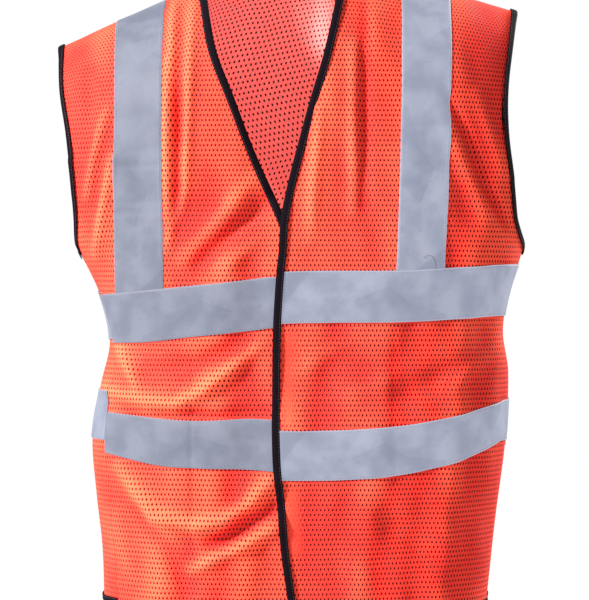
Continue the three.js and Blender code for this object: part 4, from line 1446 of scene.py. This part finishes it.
@dataclass
class Armhole:
    """One armhole's binding and its stitches."""

    vest: Vest
    side: Side
    rows: tuple[int, int, int] = (2, 16, 86)

    def build(self) -> None:
        """Build the binding round the armhole."""
        name = self.side.name.lower()
        form, cut = self.vest.form, self.vest.cut
        climbs = cut.climbs(self.side, *self.rows)[self.rows[0]:]
        turns, levels = [], []
        for face, order in ((Face.FRONT, slice(None)), (Face.BACK, slice(None, None, -1))):
            turn = cut.side_turn(self.side, climbs, face)
            level = cut.row_climb(self.side, climbs, form.across(turn, climbs))
            turns.append(turn[order])
            levels.append(level[order])
        turn = np.concatenate([turns[0], turns[1][1:-1]])
        level = np.concatenate([levels[0], levels[1][1:-1]])
        edge = Edge.along(form, turn, level, self.side.value, closed=True)
        finishes = self.vest.finishes
        binding = BindingMaker(finishes.binding).make(f"{name}_armhole_edge", edge)
        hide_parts(f"{name}_armhole_binding")
        stitches = self.vest.stitching.make(f"{name}_armhole_stitches", [edge.line(-5.2, 2.02)],
                                            finishes.dark_thread, "binding")
        for piece in (binding, stitches):
            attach(piece, "vest_body")


@dataclass
class Closure:
    """The hook strips inside the left front and the loop strips facing them on the right one."""

    vest: Vest
    thickness: float = 0.9

    def build(self) -> None:
        """Build the four strips."""
        form, cut = self.vest.form, self.vest.cut
        for level, low, high in STRIP_SPANS:
            climb = np.linspace(low, high, 32)[:, None]
            aside = np.linspace(0, STRIP_WIDTH, 10)[None, :]
            x = cut.left_edge(climb) + STRIP_REACH + aside
            climb = np.broadcast_to(climb, x.shape)
            turn = form.turn(x, climb, Face.FRONT)
            cloth = np.stack(np.broadcast_arrays(aside, climb), -1)
            swell = np.sqrt(np.clip(1 - (2 * aside / STRIP_WIDTH - 1) ** 8, 0.05, 1)) * np.ones_like(climb)
            inner = -CLOTH_THICKNESS - 0.1
            hook = self.vest.sheet(f"{level}_hooks", turn, climb, cloth,
                                   inner, inner - self.thickness * swell,
                                   self.vest.finishes.hook, "hook_strip")
            loop = self.vest.sheet(f"{level}_loops", turn, climb, cloth, 0.1 + self.thickness * swell, 0.1,
                                   self.vest.finishes.loop, "loop_strip", lapped=True)
            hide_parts(f"{level}_hook_strip")
            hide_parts(f"{level}_loop_strip")
            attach(hook, "left_flap")
            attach(loop, "right_flap")


@dataclass
class CareLabel:
    """A blank label sewn in at the left side seam, lying inside the back."""

    vest: Vest
    bottom: float = 70.0
    height: float = 60.0
    turns: tuple[float, float] = (-0.02, -0.36)
    lift: float = 1.6
    curl: float = 5.0

    def build(self) -> None:
        """Build the label, which curls away from the cloth towards its free edge."""
        form = self.vest.form
        climb = np.linspace(self.bottom, self.bottom + self.height, 24)[:, None]
        share = np.linspace(0, 1, 18)[None, :]
        turn = self.turns[0] + (self.turns[1] - self.turns[0]) * share
        turn, climb = np.broadcast_arrays(turn, climb)
        points, normals = form.places(turn, climb)
        inner = -CLOTH_THICKNESS - 0.5 - self.lift * share - self.curl * share ** 3
        cloth = np.stack([row_lengths(points), climb], -1)
        label = shell("blank_care_label", points, normals, cloth, np.broadcast_to(inner, turn.shape),
                      np.broadcast_to(inner - 0.25, turn.shape), self.vest.finishes.label)
        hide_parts("care_label")
        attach(label, "vest_body")


@dataclass
class LooseThread:
    """A short loose end of thread on the left shoulder tape, just above the upper tape."""

    vest: Vest
    line: tuple[tuple[float, float], ...] = ((137, 355), (140.5, 357.5), (144.5, 357.5), (147.5, 354),
                                             (149, 349), (149.5, 344))
    width: float = 0.6

    def build(self) -> None:
        """Build the thread as a narrow closed ribbon that lifts off the tape in its middle."""
        points = np.array(self.line, float)
        share = np.linspace(0, 1, 26)
        marks = np.linspace(0, 1, len(points))
        curve = np.stack([np.interp(share, marks, points[:, axis]) for axis in range(2)], -1)
        ahead = np.gradient(curve, axis=0)
        ahead /= np.linalg.norm(ahead, axis=-1, keepdims=True)
        aside = np.array([-self.width / 2, self.width / 2])
        x = curve[:, :1] - ahead[:, 1:] * aside
        level = curve[:, 1:] + ahead[:, :1] * aside
        spots, normals = self.vest.form.places(self.vest.form.turn(x, level, Face.FRONT), level)
        lift = SHOULDER_TAPE[1] + 0.1 + 1.6 * np.sin(math.pi * share)[:, None] * np.ones(2)
        thread = shell("loose_thread", spots, normals, np.stack([x, level], -1), lift + 0.4, lift,
                       self.vest.finishes.loose_thread)
        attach(thread, "vest_body")


@dataclass
class Studio:
    """A pale floor, soft light and the camera."""

    camera_at: tuple[float, float] = (7.6, -342.0)
    distance: float = 2600.0
    frame_height: float = 628.8
    floor_level: float = -1060.0
    floor_reach: float = 3200.0
    fill: float = 0.55

    def build_camera(self) -> None:
        """Place the camera level with the vest, looking straight at its front."""
        data = bpy.data.cameras.new("camera")
        data.sensor_fit = "VERTICAL"
        data.sensor_height = 36.0
        data.lens = data.sensor_height * self.distance / self.frame_height
        data.clip_end = 50.0
        camera = bpy.data.objects.new("camera", data)
        camera.location = (self.camera_at[0] * MM, -self.distance * MM, self.camera_at[1] * MM)
        camera.rotation_euler = (math.pi / 2, 0.0, 0.0)
        bpy.context.scene.collection.objects.link(camera)
        bpy.context.scene.camera = camera

    def build_light(self, name: str, place: tuple[float, float, float], size: float, power: float) -> None:
        """Place one soft light that faces the vest's middle."""
        data = bpy.data.lights.new(name, "AREA")
        data.shape = "DISK"
        data.size = size
        data.energy = power
        light = bpy.data.objects.new(name, data)
        light.location = place
        aim = Vector((0.0, 0.0, -0.32)) - Vector(place)
        light.rotation_euler = aim.to_track_quat("-Z", "Y").to_euler()
        bpy.context.scene.collection.objects.link(light)

    def build_floor(self) -> None:
        """Make the pale floor, a wide disc."""
        graph = Graph("floor")
        _, _, place = graph.cloth()
        colour = graph.blend((0.50, 0.50, 0.50), (0.53, 0.53, 0.53), graph.noise(place, 400.0))
        material = graph.set(base_color=colour, roughness=0.9)
        count = 96
        angle = np.linspace(0, 2 * math.pi, count, endpoint=False)
        ring = np.stack([np.cos(angle) * self.floor_reach, np.sin(angle) * self.floor_reach,
                         np.full(count, self.floor_level)], -1)
        mesh = bpy.data.meshes.new("floor")
        mesh.from_pydata((ring * MM).tolist(), [], [list(range(count))])
        mesh.uv_layers.new(name=CLOTH_UV)
        mesh.materials.append(material)
        floor = bpy.data.objects.new("floor", mesh)
        bpy.context.scene.collection.objects.link(floor)

    def build(self) -> None:
        """Set up the world, the floor, the lights and the camera."""
        world = bpy.data.worlds.new("studio")
        world.use_nodes = True
        tree = world.node_tree
        path = tree.nodes.new("ShaderNodeLightPath")
        strength = tree.nodes.new("ShaderNodeMix")
        strength.inputs["A"].default_value = self.fill
        strength.inputs["B"].default_value = 1.0
        tree.links.new(path.outputs["Is Camera Ray"], strength.inputs["Factor"])
        background = tree.nodes["Background"]
        background.inputs["Color"].default_value = (1.0, 1.0, 1.0, 1.0)
        tree.links.new(strength.outputs["Result"], background.inputs["Strength"])
        bpy.context.scene.world = world
        bpy.context.scene.view_settings.view_transform = "Standard"
        self.build_camera()
        self.build_light("key", (-2.7, -1.9, 1.5), 0.7, 540.0)
        self.build_light("back_fill", (2.6, 2.4, 1.5), 1.4, 260.0)
        self.build_floor()


def main() -> None:
    """Build the whole vest."""
    logging.basicConfig(level=logging.INFO, format="%(name)s %(message)s")
    Studio().build()
    form = BodyForm()
    vest = Vest(form, Cut(form), Finishes.build())
    Back(vest).build()
    for side in Side:
        Front(vest, side).build()
        Armhole(vest, side).build()
    ShoulderTape(vest, Side.LEFT, Profile((340, 134), (420, 138), (620, 143))).build()
    ShoulderTape(vest, Side.RIGHT, Profile((320, -149), (600, -151))).build()
    Closure(vest).build()
    CareLabel(vest).build()
    LooseThread(vest).build()


if __name__ == "__main__":
    main()
